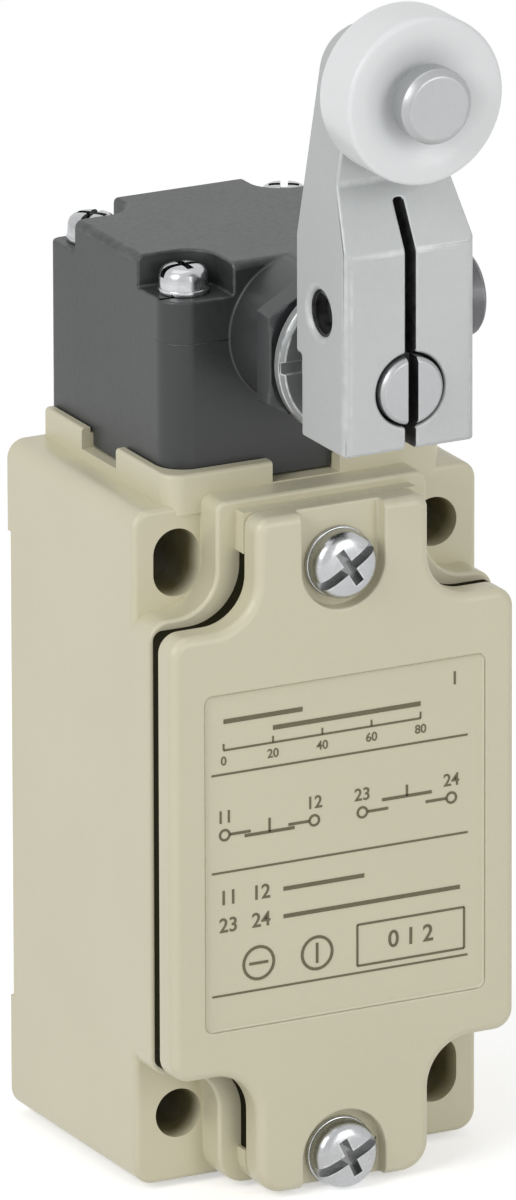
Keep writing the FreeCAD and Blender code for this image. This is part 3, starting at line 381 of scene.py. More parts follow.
# ---------------------------------------------------------------- finishes
# tone and its second tone as a factor of it, metallic share, roughness low and high; then either
# grain (fine scale, coarse scale, fine share, strength) or marks (stretch, scale, strength)
FINISHES = {
    # body_paint: recess is the painted shade on the walls of the mounting holes
    "body_paint": dict(tone=(0.662, 0.622, 0.455), factor=0.965, rough=(0.36, 0.44),
                       grain=(2400, 420, 0.45, 0.16), wear_and_highlight_amount=0.35, worn_and_highlit=(0.74, 0.70, 0.56),
                       coat=0.12, recess=(0.20, 0.180, 0.085), holes=True),
    # head_paint: its lighter edges are mostly a painted highlight of the glossy paint
    "head_paint": dict(tone=(0.029, 0.032, 0.032), factor=1.2, rough=(0.34, 0.46),
                       grain=(3800, 900, 0.7, 0.30), wear_and_highlight_amount=0.22, worn_and_highlit=(0.20, 0.21, 0.205),
                       specks=0.5, specular=0.55),
    "seal_rubber": dict(tone=(0.012, 0.011, 0.005), factor=1.4, rough=(0.7, 0.85),
                        grain=(2800, 500, 0.5, 0.2), specular=0.04),
    # zinc_screw: recess is the painted shade in the slot and cross of the screw heads
    "zinc_screw": dict(tone=(0.52, 0.53, 0.54), factor=0.8, metallic=1.0, rough=(0.16, 0.32),
                       marks=((1, 1, 1), 1500, 0.22), wear_and_highlight_amount=0.4, worn_and_highlit=(0.8, 0.81, 0.81),
                       recess=(0.24, 0.245, 0.245)),
    "terminal_metal": dict(tone=(0.72, 0.71, 0.67), factor=0.9, metallic=1.0, rough=(0.22, 0.38),
                           marks=((1, 0.1, 1), 2200, 0.12)),
    "bush_coating": dict(tone=(0.028, 0.030, 0.031), factor=1.5, rough=(0.30, 0.42),
                         grain=(3000, 700, 0.6, 0.14), wear_and_highlight_amount=0.5, worn_and_highlit=(0.10, 0.105, 0.105)),
    "bearing_brass": dict(tone=(0.72, 0.50, 0.22), factor=0.85, metallic=1.0, rough=(0.22, 0.36),
                          marks=((1, 0.08, 1), 2600, 0.12)),
    # lever_cast and shaft_steel: recess is the near-black painted shade in the slit, bore, tapped hole and
    # screwdriver slot
    "lever_cast": dict(tone=(0.50, 0.513, 0.512), factor=0.94, metallic=0.5, rough=(0.46, 0.58),
                       grain=(4200, 1100, 0.7, 0.42), wear_and_highlight_amount=0.3, worn_and_highlit=(0.72, 0.73, 0.73),
                       recess=(0.012, 0.012, 0.012)),
    "dark_steel": dict(tone=(0.11, 0.11, 0.115), factor=1.4, metallic=0.8, rough=(0.32, 0.46),
                       marks=((0.1, 1, 1), 2400, 0.12), wear_and_highlight_amount=0.6, worn_and_highlit=(0.35, 0.35, 0.35)),
    "shaft_steel": dict(tone=(0.46, 0.47, 0.475), factor=0.9, metallic=0.7, rough=(0.30, 0.44),
                        marks=((1, 0.06, 1), 3000, 0.14), wear_and_highlight_amount=0.25, worn_and_highlit=(0.7, 0.71, 0.72),
                        recess=(0.012, 0.012, 0.012)),
    "spring_steel": dict(tone=(0.45, 0.45, 0.45), factor=0.8, metallic=1.0, rough=(0.24, 0.38),
                         marks=((1, 1, 0.2), 2600, 0.08)),
    "disc_metal": dict(tone=(0.26, 0.27, 0.27), factor=0.9, metallic=0.6, rough=(0.34, 0.48),
                       marks=((1, 0.1, 1), 2600, 0.12), wear_and_highlight_amount=0.9, worn_and_highlit=(0.66, 0.67, 0.67)),
    "roller_resin": dict(tone=(0.82, 0.835, 0.84), factor=0.975, rough=(0.26, 0.36),
                         grain=(1600, 260, 0.35, 0.06), specular=0.4, milk=0.08),
    "guide_resin": dict(tone=(0.58, 0.59, 0.56), factor=0.93, rough=(0.42, 0.54),
                        grain=(2200, 500, 0.5, 0.14)),
    "case_resin": dict(tone=(0.045, 0.045, 0.048), factor=1.5, rough=(0.42, 0.58),
                       grain=(3400, 800, 0.6, 0.26)),
    "lid_resin": dict(tone=(0.26, 0.27, 0.27), factor=0.9, rough=(0.42, 0.56),
                      grain=(3200, 700, 0.6, 0.22)),
    "contact_brass": dict(tone=(0.80, 0.60, 0.30), factor=0.85, metallic=1.0, rough=(0.20, 0.36),
                          marks=((0.08, 1, 1), 2400, 0.12)),
    "panel_ink": dict(tone=(0.115, 0.100, 0.052), factor=1.35, rough=(0.45, 0.6),
                      grain=(5200, 1500, 0.6, 0.2), specks=0.5),
}


def make_finish(name, tone, factor, rough, metallic=0.0, grain=None, marks=None, wear_and_highlight_amount=0.0, worn_and_highlit=None,
                coat=0.0, specular=0.5, specks=0.25, milk=0.0, recess=None, holes=False):
    material = bpy.data.materials.new(name)
    material.use_nodes = True
    tree = material.node_tree
    sockets = tree.nodes["Principled BSDF"].inputs
    sockets["Metallic"].default_value = metallic
    sockets["Specular IOR Level"].default_value = specular
    if coat:
        sockets["Coat Weight"].default_value = coat
        sockets["Coat Roughness"].default_value = 0.25
    if milk:
        sockets["Subsurface Weight"].default_value = milk
        sockets["Subsurface Radius"].default_value = (MM, MM, MM)
        sockets["Subsurface Scale"].default_value = 0.5
    drift = place_group(tree, DRIFT, {"Tone A": rgba(tone), "Tone B": rgba(scaled(tone, factor)),
                                      "Speck Share": specks})
    color = drift["Color"]
    # lighter edges: partly wear, partly painted highlight
    if wear_and_highlight_amount:
        mask = place_group(tree, WORN_HIGHLIT_EDGES, {"Amount": wear_and_highlight_amount})["Mask"]
        color = color_between(tree, mask, color, rgba(worn_and_highlit))
    # painted shade: the recess colour darkens the faces whose attribute "recess" is set, broken a little
    # by noise
    if recess:
        values = {"Color": color, "Painted Shade": rgba(recess)}
        # with holes, the walls of the mounting holes also get this painted shade
        if holes:
            values["Extra Mask"] = place_group(tree, PAINTED_HOLE_SHADE, {})["Mask"]
        color = place_group(tree, RECESS_SHADE, values)["Color"]
    tree.links.new(color, sockets["Base Color"])
    if marks:
        stretch, scale, strength = marks
        cut = place_group(tree, MARKS, {"Stretch": stretch, "Scale": scale, "Low": rough[0],
                                        "High": rough[1], "Strength": strength})
        tree.links.new(cut["Roughness"], sockets["Roughness"])
        tree.links.new(cut["Normal"], sockets["Normal"])
    else:
        fine, coarse, share, strength = grain
        tree.links.new(remapped(tree, drift["Value"], 0.0, 1.0, *rough), sockets["Roughness"])
        skin = place_group(tree, GRAIN, {"Fine Scale": fine, "Coarse Scale": coarse, "Fine Share": share,
                                         "Strength": strength})
        tree.links.new(skin["Normal"], sockets["Normal"])
    return material


FINISH = {name: make_finish(name, **values) for name, values in FINISHES.items()}
SLOTS = {row["node"]: row["material_slot"] for row in frame["record"]["subparts"]}

for node_name, cad_node in NODES.items():
    cad_node.data.materials.clear()
    cad_node.data.materials.append(FINISH[SLOTS[node_name]])


# ---------------------------------------------------------------- pieces taken over from the frame
NARROWEST_FLAT = 0.3 * MM
SHARPEST_ROUND = math.radians(14.0)
MERGE_CAD = 0.002 * MM
MERGE_GROWN = 0.0001 * MM


def mark_faces(mesh, deep=None):
    """Writes two face attributes: "edge", 1 on the narrow faces that round an outer edge, where wear and
    painted highlight go, and
    "recess", 1 where deep(centre, normal) is true, where painted shade goes."""
    bm = bmesh.new()
    bm.from_mesh(mesh)
    rounded, hollow = [], []
    for face in bm.faces:
        longest = max(edge.calc_length() for edge in face.edges)
        corner_share = 2.0 if len(face.verts) == 3 else 1.0
        width = corner_share * face.calc_area() / longest if longest else 0.0
        bend = 0.0
        for edge in face.edges:
            if len(edge.link_faces) == 2:
                bend = max(bend, edge.calc_face_angle_signed(0.0))
        rounded.append(1.0 if width < NARROWEST_FLAT and bend > SHARPEST_ROUND else 0.0)
        hollow.append(1.0 if deep and deep(face.calc_center_median(), face.normal) else 0.0)
    bm.free()
    for label, values in (("edge", rounded), ("recess", hollow)):
        mesh.attributes.new(label, "FLOAT", "FACE").data.foreach_set("value", values)


def add_piece(name, mesh, body, finish, replaced=(), deep=None):
    """Gives a finished mesh its finish and body, and hides the CAD nodes it stands for."""
    mesh.materials.clear()
    mesh.materials.append(FINISH[finish])
    mark_faces(mesh, deep)
    piece = bpy.data.objects.new(name, mesh)
    bpy.context.scene.collection.objects.link(piece)
    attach(piece, body)
    if replaced:
        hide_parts(*replaced)
    return piece


def evaluated_mesh(holder, name):
    """The holder's mesh with its modifiers applied; the holder is removed."""
    depsgraph = bpy.context.evaluated_depsgraph_get()
    mesh = bpy.data.meshes.new_from_object(holder.evaluated_get(depsgraph), depsgraph=depsgraph)
    mesh.name = name
    seed = holder.data
    bpy.data.objects.remove(holder)
    bpy.data.meshes.remove(seed)
    return mesh


def refined(node, name, width, deep=None):
    """Stands for a CAD node: the same form, merged, with its sharp edges broken by width."""
    mesh = NODES[node].data.copy()
    bm = bmesh.new()
    bm.from_mesh(mesh)
    bmesh.ops.remove_doubles(bm, verts=bm.verts, dist=MERGE_CAD)
    bmesh.ops.dissolve_degenerate(bm, edges=bm.edges, dist=MERGE_GROWN)
    bmesh.ops.dissolve_limit(bm, angle_limit=math.radians(0.4), use_dissolve_boundaries=False,
                             verts=bm.verts, edges=bm.edges)
    bm.to_mesh(mesh)
    bm.free()
    mesh.shade_smooth()
    holder = bpy.data.objects.new(name + "_form", mesh)
    bpy.context.scene.collection.objects.link(holder)
    bevel = holder.modifiers.new("broken_edges", "BEVEL")
    bevel.width = width
    bevel.segments = 2
    bevel.limit_method = "ANGLE"
    bevel.angle_limit = math.radians(34.0)
    bevel.use_clamp_overlap = False
    bevel.miter_outer = "MITER_ARC"
    flatten = holder.modifiers.new("flat_faces_stay_flat", "WEIGHTED_NORMAL")
    flatten.weight = 70
    flatten.keep_sharp = True
    bpy.context.view_layer.update()
    mesh = evaluated_mesh(holder, name)
    return add_piece(name, mesh, frame_body(node), SLOTS[node], [node], deep)


def frame_body(node):
    return NODES[node]["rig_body"]


SHAFT_Z = 52.8 * MM
CLAMP_Y, CLAMP_Z = -46.5 * MM, 60.4 * MM
SLOT_REACH = 0.6 * MM
LEVER_BORE_R = 4.05 * MM
LEVER_FRONT_Y = -52.0 * MM
BORE_SHOULDER_Y = -51.2 * MM
SHAFT_SLOT_END_Y = -50.5 * MM
SHAFT_SLOT_FLOOR_Y = -51.3 * MM
TAPPED_R = 2.6 * MM
TAPPED_X = (-7.1 * MM, 0.7 * MM)
SOCKET_R = 2.4 * MM
SOCKET_MOUTH_X = 9.6 * MM
FACES_SIDEWAYS = 0.9
FACES_AWAY = 0.5


def from_clamp_axis(centre):
    return math.hypot(centre.y - CLAMP_Y, centre.z - CLAMP_Z)


def deep_in_lever(centre, normal):
    """The walls of the slit, of the shaft bore and of the tapped hole."""
    slit = abs(centre.x) < SLOT_REACH and abs(normal.x) > FACES_SIDEWAYS
    bore = math.hypot(centre.x, centre.z - SHAFT_Z) < LEVER_BORE_R and centre.y > LEVER_FRONT_Y
    bore = bore and (abs(normal.y) < FACES_AWAY or centre.y < BORE_SHOULDER_Y)
    tapped = from_clamp_axis(centre) < TAPPED_R and TAPPED_X[0] < centre.x < TAPPED_X[1]
    return slit or bore or (tapped and abs(normal.x) < FACES_AWAY)


def deep_in_shaft(centre, normal):
    """The walls and the floor of the screwdriver slot."""
    inside = abs(centre.x) < SLOT_REACH and centre.y < SHAFT_SLOT_END_Y
    return inside and (abs(normal.x) > FACES_SIDEWAYS or centre.y > SHAFT_SLOT_FLOOR_Y)


def deep_in_bolt(centre, normal):
    """The hexagon socket of the clamp bolt."""
    return from_clamp_axis(centre) < SOCKET_R and centre.x < SOCKET_MOUTH_X


REFINED = [
    # node, name of the piece, width of its broken edges, test for its recesses
    ("front_cover", "cover_plate", 0.25 * MM, None),
    ("head_casing", "head_block", 0.28 * MM, None),
    ("shaft_bush", "hexagon_bush", 0.18 * MM, None),
    ("lever_arm", "roller_lever", 0.30 * MM, deep_in_lever),
    ("clamp_bolt", "lever_clamp_bolt", 0.10 * MM, deep_in_bolt),
    ("rotary_shaft", "lever_shaft", 0.10 * MM, deep_in_shaft),
    ("indicator_disc", "pointer_disc", 0.12 * MM, None),
    ("roller_pin", "headed_roller_pin", 0.14 * MM, None),
]
for node_name, piece_name, edge_width, deep_test in REFINED:
    refined(node_name, piece_name, edge_width, deep_test)


# ---------------------------------------------------------------- pieces grown by rule
def finish_tree(tree, geometry, given, out):
    """Ends a tree: smooth, realized and with its material."""
    smooth = link_nodes(tree, "GeometryNodeSetShadeSmooth", {"Geometry": geometry})
    real = link_nodes(tree, "GeometryNodeRealizeInstances", {"Geometry": smooth.outputs[0]})
    dressed = link_nodes(tree, "GeometryNodeSetMaterial", {"Geometry": real.outputs[0],
                                                           "Material": given["Finish"]})
    tree.links.new(dressed.outputs[0], out.inputs["Geometry"])
    return tree


def swept_helix(tree, radius, section, sides, height, turns, dead, steps):
    """A round or angular section swept along a helix whose ends may lie flat."""
    line = link_nodes(tree, "GeometryNodeCurvePrimitiveLine")
    count = calculate(tree, "MULTIPLY", turns, steps)
    even = link_nodes(tree, "GeometryNodeResampleCurve", {"Curve": line.outputs[0], "Count": count})
    factor = link_nodes(tree, "GeometryNodeSplineParameter").outputs["Factor"]
    angle = calculate(tree, "MULTIPLY", calculate(tree, "MULTIPLY", factor, turns), math.tau)
    flat = calculate(tree, "DIVIDE", dead, turns)
    rising = remapped(tree, factor, flat, calculate(tree, "SUBTRACT", 1.0, flat))
    x = calculate(tree, "MULTIPLY", radius, calculate(tree, "COSINE", angle))
    y = calculate(tree, "MULTIPLY", radius, calculate(tree, "SINE", angle))
    z = calculate(tree, "MULTIPLY", height, rising)
    place = link_nodes(tree, "ShaderNodeCombineXYZ", {0: x, 1: y, 2: z})
    path = link_nodes(tree, "GeometryNodeSetPosition", {"Geometry": even.outputs[0],
                                                        "Position": place.outputs[0]})
    shape = link_nodes(tree, "GeometryNodeCurvePrimitiveCircle", {
        "Resolution": sides, "Radius": section})
    return link_nodes(tree, "GeometryNodeCurveToMesh", {
        "Curve": path.outputs[0], "Profile Curve": shape.outputs[0], "Fill Caps": True}).outputs[0]


def helix_tree():
    tree, given, out = new_tree("helix", "GeometryNodeTree", [
        ("Radius", FLOAT, 0.003), ("Section Radius", FLOAT, 0.0003), ("Section Sides", INTEGER, 12),
        ("Height", FLOAT, 0.01), ("Turns", FLOAT, 4.0), ("Dead Turns", FLOAT, 0.5),
        ("Steps per Turn", INTEGER, 40), ("Finish", MATERIAL, None),
    ], [("Geometry", GEOMETRY)])
    body = swept_helix(tree, given["Radius"], given["Section Radius"], given["Section Sides"],
                       given["Height"], given["Turns"], given["Dead Turns"], given["Steps per Turn"])
    return finish_tree(tree, body, given, out)


def ring_tree():
    tree, given, out = new_tree("flat_ring", "GeometryNodeTree", [
        ("Outer Radius", FLOAT, 0.004), ("Inner Radius", FLOAT, 0.002), ("Thickness", FLOAT, 0.0006),
        ("Corner Radius", FLOAT, 0.0001), ("Finish", MATERIAL, None),
    ], [("Geometry", GEOMETRY)])
    total = calculate(tree, "ADD", given["Outer Radius"], given["Inner Radius"])
    circle = link_nodes(tree, "GeometryNodeCurvePrimitiveCircle", {
        "Resolution": 72, "Radius": calculate(tree, "MULTIPLY", total, 0.5)})
    section = link_nodes(tree, "GeometryNodeCurvePrimitiveQuadrilateral", {
        "Width": calculate(tree, "SUBTRACT", given["Outer Radius"], given["Inner Radius"]),
        "Height": given["Thickness"]})
    rounded = link_nodes(tree, "GeometryNodeFilletCurve", {
        "Curve": section.outputs[0], "Radius": given["Corner Radius"], "Count": 3}, mode="POLY")
    body = link_nodes(tree, "GeometryNodeCurveToMesh", {"Curve": circle.outputs[0],
                                                        "Profile Curve": rounded.outputs[0]})
    return finish_tree(tree, body.outputs[0], given, out)


def screw_tree():
    """A domed head with a slot and a cross, a shank and a helical thread, standing on z = 0."""
    tree, given, out = new_tree("machine_screw", "GeometryNodeTree", [
        ("Head Radius", FLOAT, 0.0036), ("Head Height", FLOAT, 0.0024), ("Squareness", FLOAT, 0.5),
        ("Slot Length", FLOAT, 0.008), ("Slot Width", FLOAT, 0.001), ("Cross Length", FLOAT, 0.004),
        ("Cross Width", FLOAT, 0.001), ("Recess Depth", FLOAT, 0.0013), ("Core Radius", FLOAT, 0.0017),
        ("Length", FLOAT, 0.009), ("Pitch", FLOAT, 0.0007), ("Ridge Radius", FLOAT, 0.0003),
        ("Finish", MATERIAL, None),
    ], [("Geometry", GEOMETRY)])
    ball = link_nodes(tree, "GeometryNodeMeshUVSphere", {"Segments": 72, "Rings": 36, "Radius": 1.0})
    here = link_nodes(tree, "GeometryNodeInputPosition").outputs[0]
    x, y, z = link_nodes(tree, "ShaderNodeSeparateXYZ", {0: here}).outputs
    square = calculate(tree, "ADD", calculate(tree, "MULTIPLY", x, x), calculate(tree, "MULTIPLY", y, y))
    away = calculate(tree, "MAXIMUM", calculate(tree, "SQRT", square), 0.0001)
    less = calculate(tree, "SUBTRACT", given["Squareness"], 1.0)
    spread = calculate(tree, "MULTIPLY", given["Head Radius"], calculate(tree, "POWER", away, less))
    lift = calculate(tree, "POWER", calculate(tree, "MAXIMUM", z, 0.0), given["Squareness"])
    moved = link_nodes(tree, "ShaderNodeCombineXYZ", {
        0: calculate(tree, "MULTIPLY", x, spread), 1: calculate(tree, "MULTIPLY", y, spread),
        2: calculate(tree, "MULTIPLY", lift, given["Head Height"])})
    head = link_nodes(tree, "GeometryNodeSetPosition", {"Geometry": ball.outputs[0],
                                                        "Position": moved.outputs[0]})
    deep = calculate(tree, "MULTIPLY", given["Recess Depth"], 2.0)
    at_top = link_nodes(tree, "ShaderNodeCombineXYZ", {2: given["Head Height"]}).outputs[0]
    cut = link_nodes(tree, "GeometryNodeMeshBoolean", {"Mesh 1": head.outputs[0]},
                     operation="DIFFERENCE", solver="EXACT")
    for length, width in (("Slot Length", "Slot Width"), ("Cross Width", "Cross Length")):
        size = link_nodes(tree, "ShaderNodeCombineXYZ", {0: given[length], 1: given[width], 2: deep})
        block = link_nodes(tree, "GeometryNodeMeshCube", {"Size": size.outputs[0]})
        raised = link_nodes(tree, "GeometryNodeTransform", {"Geometry": block.outputs[0],
                                                            "Translation": at_top})
        tree.links.new(raised.outputs[0], cut.inputs["Mesh 2"])
    shank = link_nodes(tree, "GeometryNodeMeshCylinder", {
        "Vertices": 40, "Radius": given["Core Radius"], "Depth": given["Length"]})
    half_down = calculate(tree, "MULTIPLY", given["Length"], -0.499)
    middle = link_nodes(tree, "ShaderNodeCombineXYZ", {2: half_down})
    hung = link_nodes(tree, "GeometryNodeTransform", {"Geometry": shank.outputs[0],
                                                      "Translation": middle.outputs[0]})
    run = calculate(tree, "MULTIPLY", given["Length"], 0.86)
    ridge = swept_helix(tree, given["Core Radius"], given["Ridge Radius"], 3, run,
                        calculate(tree, "DIVIDE", run, given["Pitch"]), 0.0, 32)
    thread_foot = calculate(tree, "MULTIPLY", given["Length"], -0.95)
    low = link_nodes(tree, "ShaderNodeCombineXYZ", {2: thread_foot})
    thread = link_nodes(tree, "GeometryNodeTransform", {"Geometry": ridge, "Translation": low.outputs[0]})
    joined = tree.nodes.new("GeometryNodeJoinGeometry")
    for part in (cut.outputs["Mesh"], hung.outputs[0], thread.outputs[0]):
        tree.links.new(part, joined.inputs[0])
    return finish_tree(tree, joined.outputs[0], given, out)


HELIX, RING, SCREW = helix_tree(), ring_tree(), screw_tree()


def clean_mesh(mesh):
    """Merges what the evaluation left in two and turns all faces outward."""
    bm = bmesh.new()
    bm.from_mesh(mesh)
    bmesh.ops.remove_doubles(bm, verts=bm.verts, dist=MERGE_GROWN)
    bmesh.ops.recalc_face_normals(bm, faces=bm.faces)
    bm.to_mesh(mesh)
    bm.free()


def grow(name, tree, sizes, finish, place, body, replaced=(), deep=None):
    """Runs a tree with the given sizes in metres and places the result by the matrix place."""
    seed = bpy.data.meshes.new(name + "_seed")
    holder = bpy.data.objects.new(name + "_seed", seed)
    bpy.context.scene.collection.objects.link(holder)
    modifier = holder.modifiers.new(tree.name, "NODES")
    modifier.node_group = tree
    values = dict(sizes)
    values["Finish"] = FINISH[finish]
    for item in tree.interface.items_tree:
        if item.item_type == "SOCKET" and item.in_out == "INPUT" and item.name in values:
            modifier[item.identifier] = values[item.name]
    bpy.context.view_layer.update()
    mesh = evaluated_mesh(holder, name)
    clean_mesh(mesh)
    mesh.set_sharp_from_angle(angle=math.radians(32.0))
    inverse = place.inverted()
    turn = inverse.to_3x3()
    mesh.transform(place)

    def deep_here(centre, normal):
        return deep(inverse @ centre, turn @ normal)

    return add_piece(name, mesh, body, finish, replaced, deep_here if deep else None)


TO_FRONT = Matrix.Rotation(math.radians(90), 4, "X")


def facing_front(x, y, z, turn=0.0):
    spin = Matrix.Rotation(math.radians(turn), 4, "Z")
    return Matrix.Translation((x * MM, y * MM, z * MM)) @ TO_FRONT @ spin


def standing(x, y, z, turn=0.0):
    return Matrix.Translation((x * MM, y * MM, z * MM)) @ Matrix.Rotation(math.radians(turn), 4, "Z")


SQUARENESS = 0.5
WASHER_THICKNESS = 0.6


def screw_sizes(head_r, head_height, thread_r, length, pitch, slot, cross, depth):
    """Sizes in mm; slot and cross are (length, width) of the two cuts in the head."""
    ridge = 0.42 * pitch
    return {"Head Radius": head_r * MM, "Head Height": head_height * MM, "Squareness": SQUARENESS,
            "Slot Length": slot[0] * MM, "Slot Width": slot[1] * MM, "Cross Length": cross[0] * MM,
            "Cross Width": cross[1] * MM, "Recess Depth": depth * MM,
            "Core Radius": (thread_r - ridge) * MM, "Length": length * MM, "Pitch": pitch * MM,
            "Ridge Radius": ridge * MM}


def ring_sizes(outer_r, inner_r, corner_r):
    return {"Outer Radius": outer_r * MM, "Inner Radius": inner_r * MM,
            "Thickness": WASHER_THICKNESS * MM, "Corner Radius": corner_r * MM}


def helix_sizes(radius, section_r, height, turns, dead=0.0, sides=14, steps=48):
    return {"Radius": radius * MM, "Section Radius": section_r * MM, "Section Sides": sides,
            "Height": height * MM, "Turns": turns, "Dead Turns": dead, "Steps per Turn": steps}


def grow_screw(name, node, sizes, place):
    """A screw whose recess is marked as deep."""
    r, height = sizes["Head Radius"], sizes["Head Height"]
    power = 2.0 / SQUARENESS

    def in_recess(centre, normal):
        away = min(math.hypot(centre.x, centre.y) / r, 1.0)
        surface = height * (1.0 - away ** power) ** (1.0 / power)
        return 0.02 * MM < centre.z < surface - 0.12 * MM and away < 0.97

    grow(name, SCREW, sizes, SLOTS[node], place, frame_body(node), [node], in_recess)


def grow_ring(name, node, sizes, place):
    grow(name, RING, sizes, SLOTS[node], place, frame_body(node), [node])


COVER_SCREW = screw_sizes(3.65, 2.4, 2.0, 9.4, 0.7, (8.4, 1.05), (4.3, 1.05), 1.25)
HEAD_SCREW = screw_sizes(2.6, 2.3, 1.5, 23.4, 0.5, (6.0, 0.8), (3.2, 0.8), 1.1)
TERMINAL_SCREW = screw_sizes(2.3, 1.5, 1.5, 6.0, 0.5, (5.0, 0.7), (3.0, 0.7), 0.9)
CASE_SCREW = screw_sizes(2.6, 1.6, 1.5, 17.4, 0.5, (5.6, 0.7), (3.2, 0.7), 0.9)
EARTH_SCREW = screw_sizes(3.3, 2.0, 1.75, 7.6, 0.7, (7.2, 0.8), (3.8, 0.8), 1.1)
COVER_RING = ring_sizes(3.79, 2.1, 0.15)
HEAD_RING = ring_sizes(2.7, 1.6, 0.12)

COVER_SEAT_Y = -36.6
COVER_FIXINGS = [("top", 30.0, 33), ("bottom", -34.3, 25)]
for end, z, turn in COVER_FIXINGS:
    grow_screw("cover_fixing_" + end, "cover_screw_" + end, COVER_SCREW,
               facing_front(0, COVER_SEAT_Y, z, turn))
    grow_ring("cover_ring_" + end, "cover_washer_" + end, COVER_RING,
              facing_front(0, COVER_SEAT_Y + WASHER_THICKNESS / 2, z))

HEAD_SEAT_Z = 57.8
HEAD_SCREW_X = 11.2
HEAD_SCREW_ROWS = [("front", -23.5, 12), ("rear", -2.7, 50)]
for side, x in (("left", -HEAD_SCREW_X), ("right", HEAD_SCREW_X)):
    for end, y, turn in HEAD_SCREW_ROWS:
        corner = side + "_" + end
        grow_screw("head_fixing_" + corner, "head_screw_" + corner, HEAD_SCREW,
                   standing(x, y, HEAD_SEAT_Z, turn + x))
        grow_ring("head_ring_" + corner, "head_washer_" + corner, HEAD_RING,
                  standing(x, y, HEAD_SEAT_Z - WASHER_THICKNESS / 2))

INNER_SCREWS = [
    # node, sizes, turn of the slot in degrees
    ("terminal_screw_11", TERMINAL_SCREW, 20), ("terminal_screw_12", TERMINAL_SCREW, 55),
    ("terminal_screw_23", TERMINAL_SCREW, 90), ("terminal_screw_24", TERMINAL_SCREW, 125),
    ("case_screw_lower", CASE_SCREW, 15), ("case_screw_upper", CASE_SCREW, 70),
    ("earth_screw", EARTH_SCREW, 40),
]
for node_name, sizes, turn in INNER_SCREWS:
    low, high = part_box(node_name)
    seat_y = (low[1] / MM) + sizes["Head Height"] / MM
    middle_x = (low[0] + high[0]) / 2 / MM
    middle_z = (low[2] + high[2]) / 2 / MM
    grow_screw(node_name + "_fixing", node_name, sizes, facing_front(middle_x, seat_y, middle_z, turn))

PLUNGER_Y = -13.65
HEAD_SPRING_FOOT_Z, HEAD_SPRING_LENGTH = 40.7, 4.7
CONTACT_SPRING_FOOT_Z, CONTACT_SPRING_LENGTH = -8.0, 14.0


def grow_spring(name, node, foot_z, length, radius, wire_r, turns, dead):
    """A coil between two seats, rising from a foot; the piece keeps a mesh of its own."""
    sizes = helix_sizes(radius, wire_r, length - 2 * wire_r, turns, dead)
    coil = grow(name, HELIX, sizes, SLOTS[node], standing(0, PLUNGER_Y, foot_z + wire_r),
                frame_body(node), [node])
    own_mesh(coil)


grow_spring("plunger_return_coil", "head_spring",
            HEAD_SPRING_FOOT_Z, HEAD_SPRING_LENGTH, 3.6, 0.35, 3.5, 0.5)
grow_spring("contact_coil", "contact_spring",
            CONTACT_SPRING_FOOT_Z, CONTACT_SPRING_LENGTH, 2.6, 0.3, 6.5, 0.9)

CONDUIT_Y, CONDUIT_THREAD_FOOT_Z = -14.6, -35.2
CONDUIT_THREAD_HEIGHT, CONDUIT_PITCH = 11.8, 1.814
CONDUIT_THREAD = helix_sizes(9.42, 0.75, CONDUIT_THREAD_HEIGHT, CONDUIT_THREAD_HEIGHT / CONDUIT_PITCH,
                             sides=3, steps=64)
grow("conduit_thread", HELIX, CONDUIT_THREAD, "body_paint", standing(0, CONDUIT_Y, CONDUIT_THREAD_FOOT_Z),
     "switch_body")
TO_LEFT = Matrix.Rotation(math.radians(-90), 4, "Y")
CLAMP_THREAD_END_X = -5.6 * MM
# every face of this thread is marked as recess, so all of it takes the lever's painted shade
grow("clamp_hole_thread", HELIX, helix_sizes(2.46, 0.3, 1.5, 2.0, sides=3), "lever_cast",
     Matrix.Translation((CLAMP_THREAD_END_X, CLAMP_Y, CLAMP_Z)) @ TO_LEFT, "lever",
     deep=lambda centre, normal: True)


def parting_seam(name, points, radius, body, finish):
    """A fine raised line along a path, half sunk in the surface it follows."""
    data = bpy.data.curves.new(name, "CURVE")
    data.dimensions = "3D"
    data.bevel_depth = radius
    data.bevel_resolution = 2
    data.use_fill_caps = True
    spline = data.splines.new("POLY")
    spline.points.add(len(points) - 1)
    for point, place in zip(spline.points, points):
        point.co = (place[0] * MM, place[1] * MM, place[2] * MM, 1.0)
    holder = bpy.data.objects.new(name + "_path", data)
    bpy.context.scene.collection.objects.link(holder)
    bpy.context.view_layer.update()
    depsgraph = bpy.context.evaluated_depsgraph_get()
    mesh = bpy.data.meshes.new_from_object(holder.evaluated_get(depsgraph), depsgraph=depsgraph)
    bpy.data.objects.remove(holder)
    clean_mesh(mesh)
    return add_piece(name, mesh, body, finish)


SEAM_Z, SEAM_RADIUS = 52.6, 0.07 * MM
SEAM_SIDE_REACH, SEAM_FRONT_END_X = 0.4, 7.7
HEAD_SIDE, HEAD_FRONT, HEAD_CORNER = 14.9, -27.5, 3.0
CORNER_STEPS = 8
for side, sign in (("left", -1), ("right", 1)):
    seam = [(sign * HEAD_SIDE, HEAD_FRONT + HEAD_CORNER + SEAM_SIDE_REACH, SEAM_Z)]
    for i in range(CORNER_STEPS + 1):
        angle = math.radians(i * 90 / CORNER_STEPS)
        seam.append((sign * (HEAD_SIDE - HEAD_CORNER + HEAD_CORNER * math.cos(angle)),
                     HEAD_FRONT + HEAD_CORNER - HEAD_CORNER * math.sin(angle), SEAM_Z))
    seam.append((sign * SEAM_FRONT_END_X, HEAD_FRONT, SEAM_Z))
    parting_seam("head_seam_" + side, seam, SEAM_RADIUS, "switch_body", "head_paint")


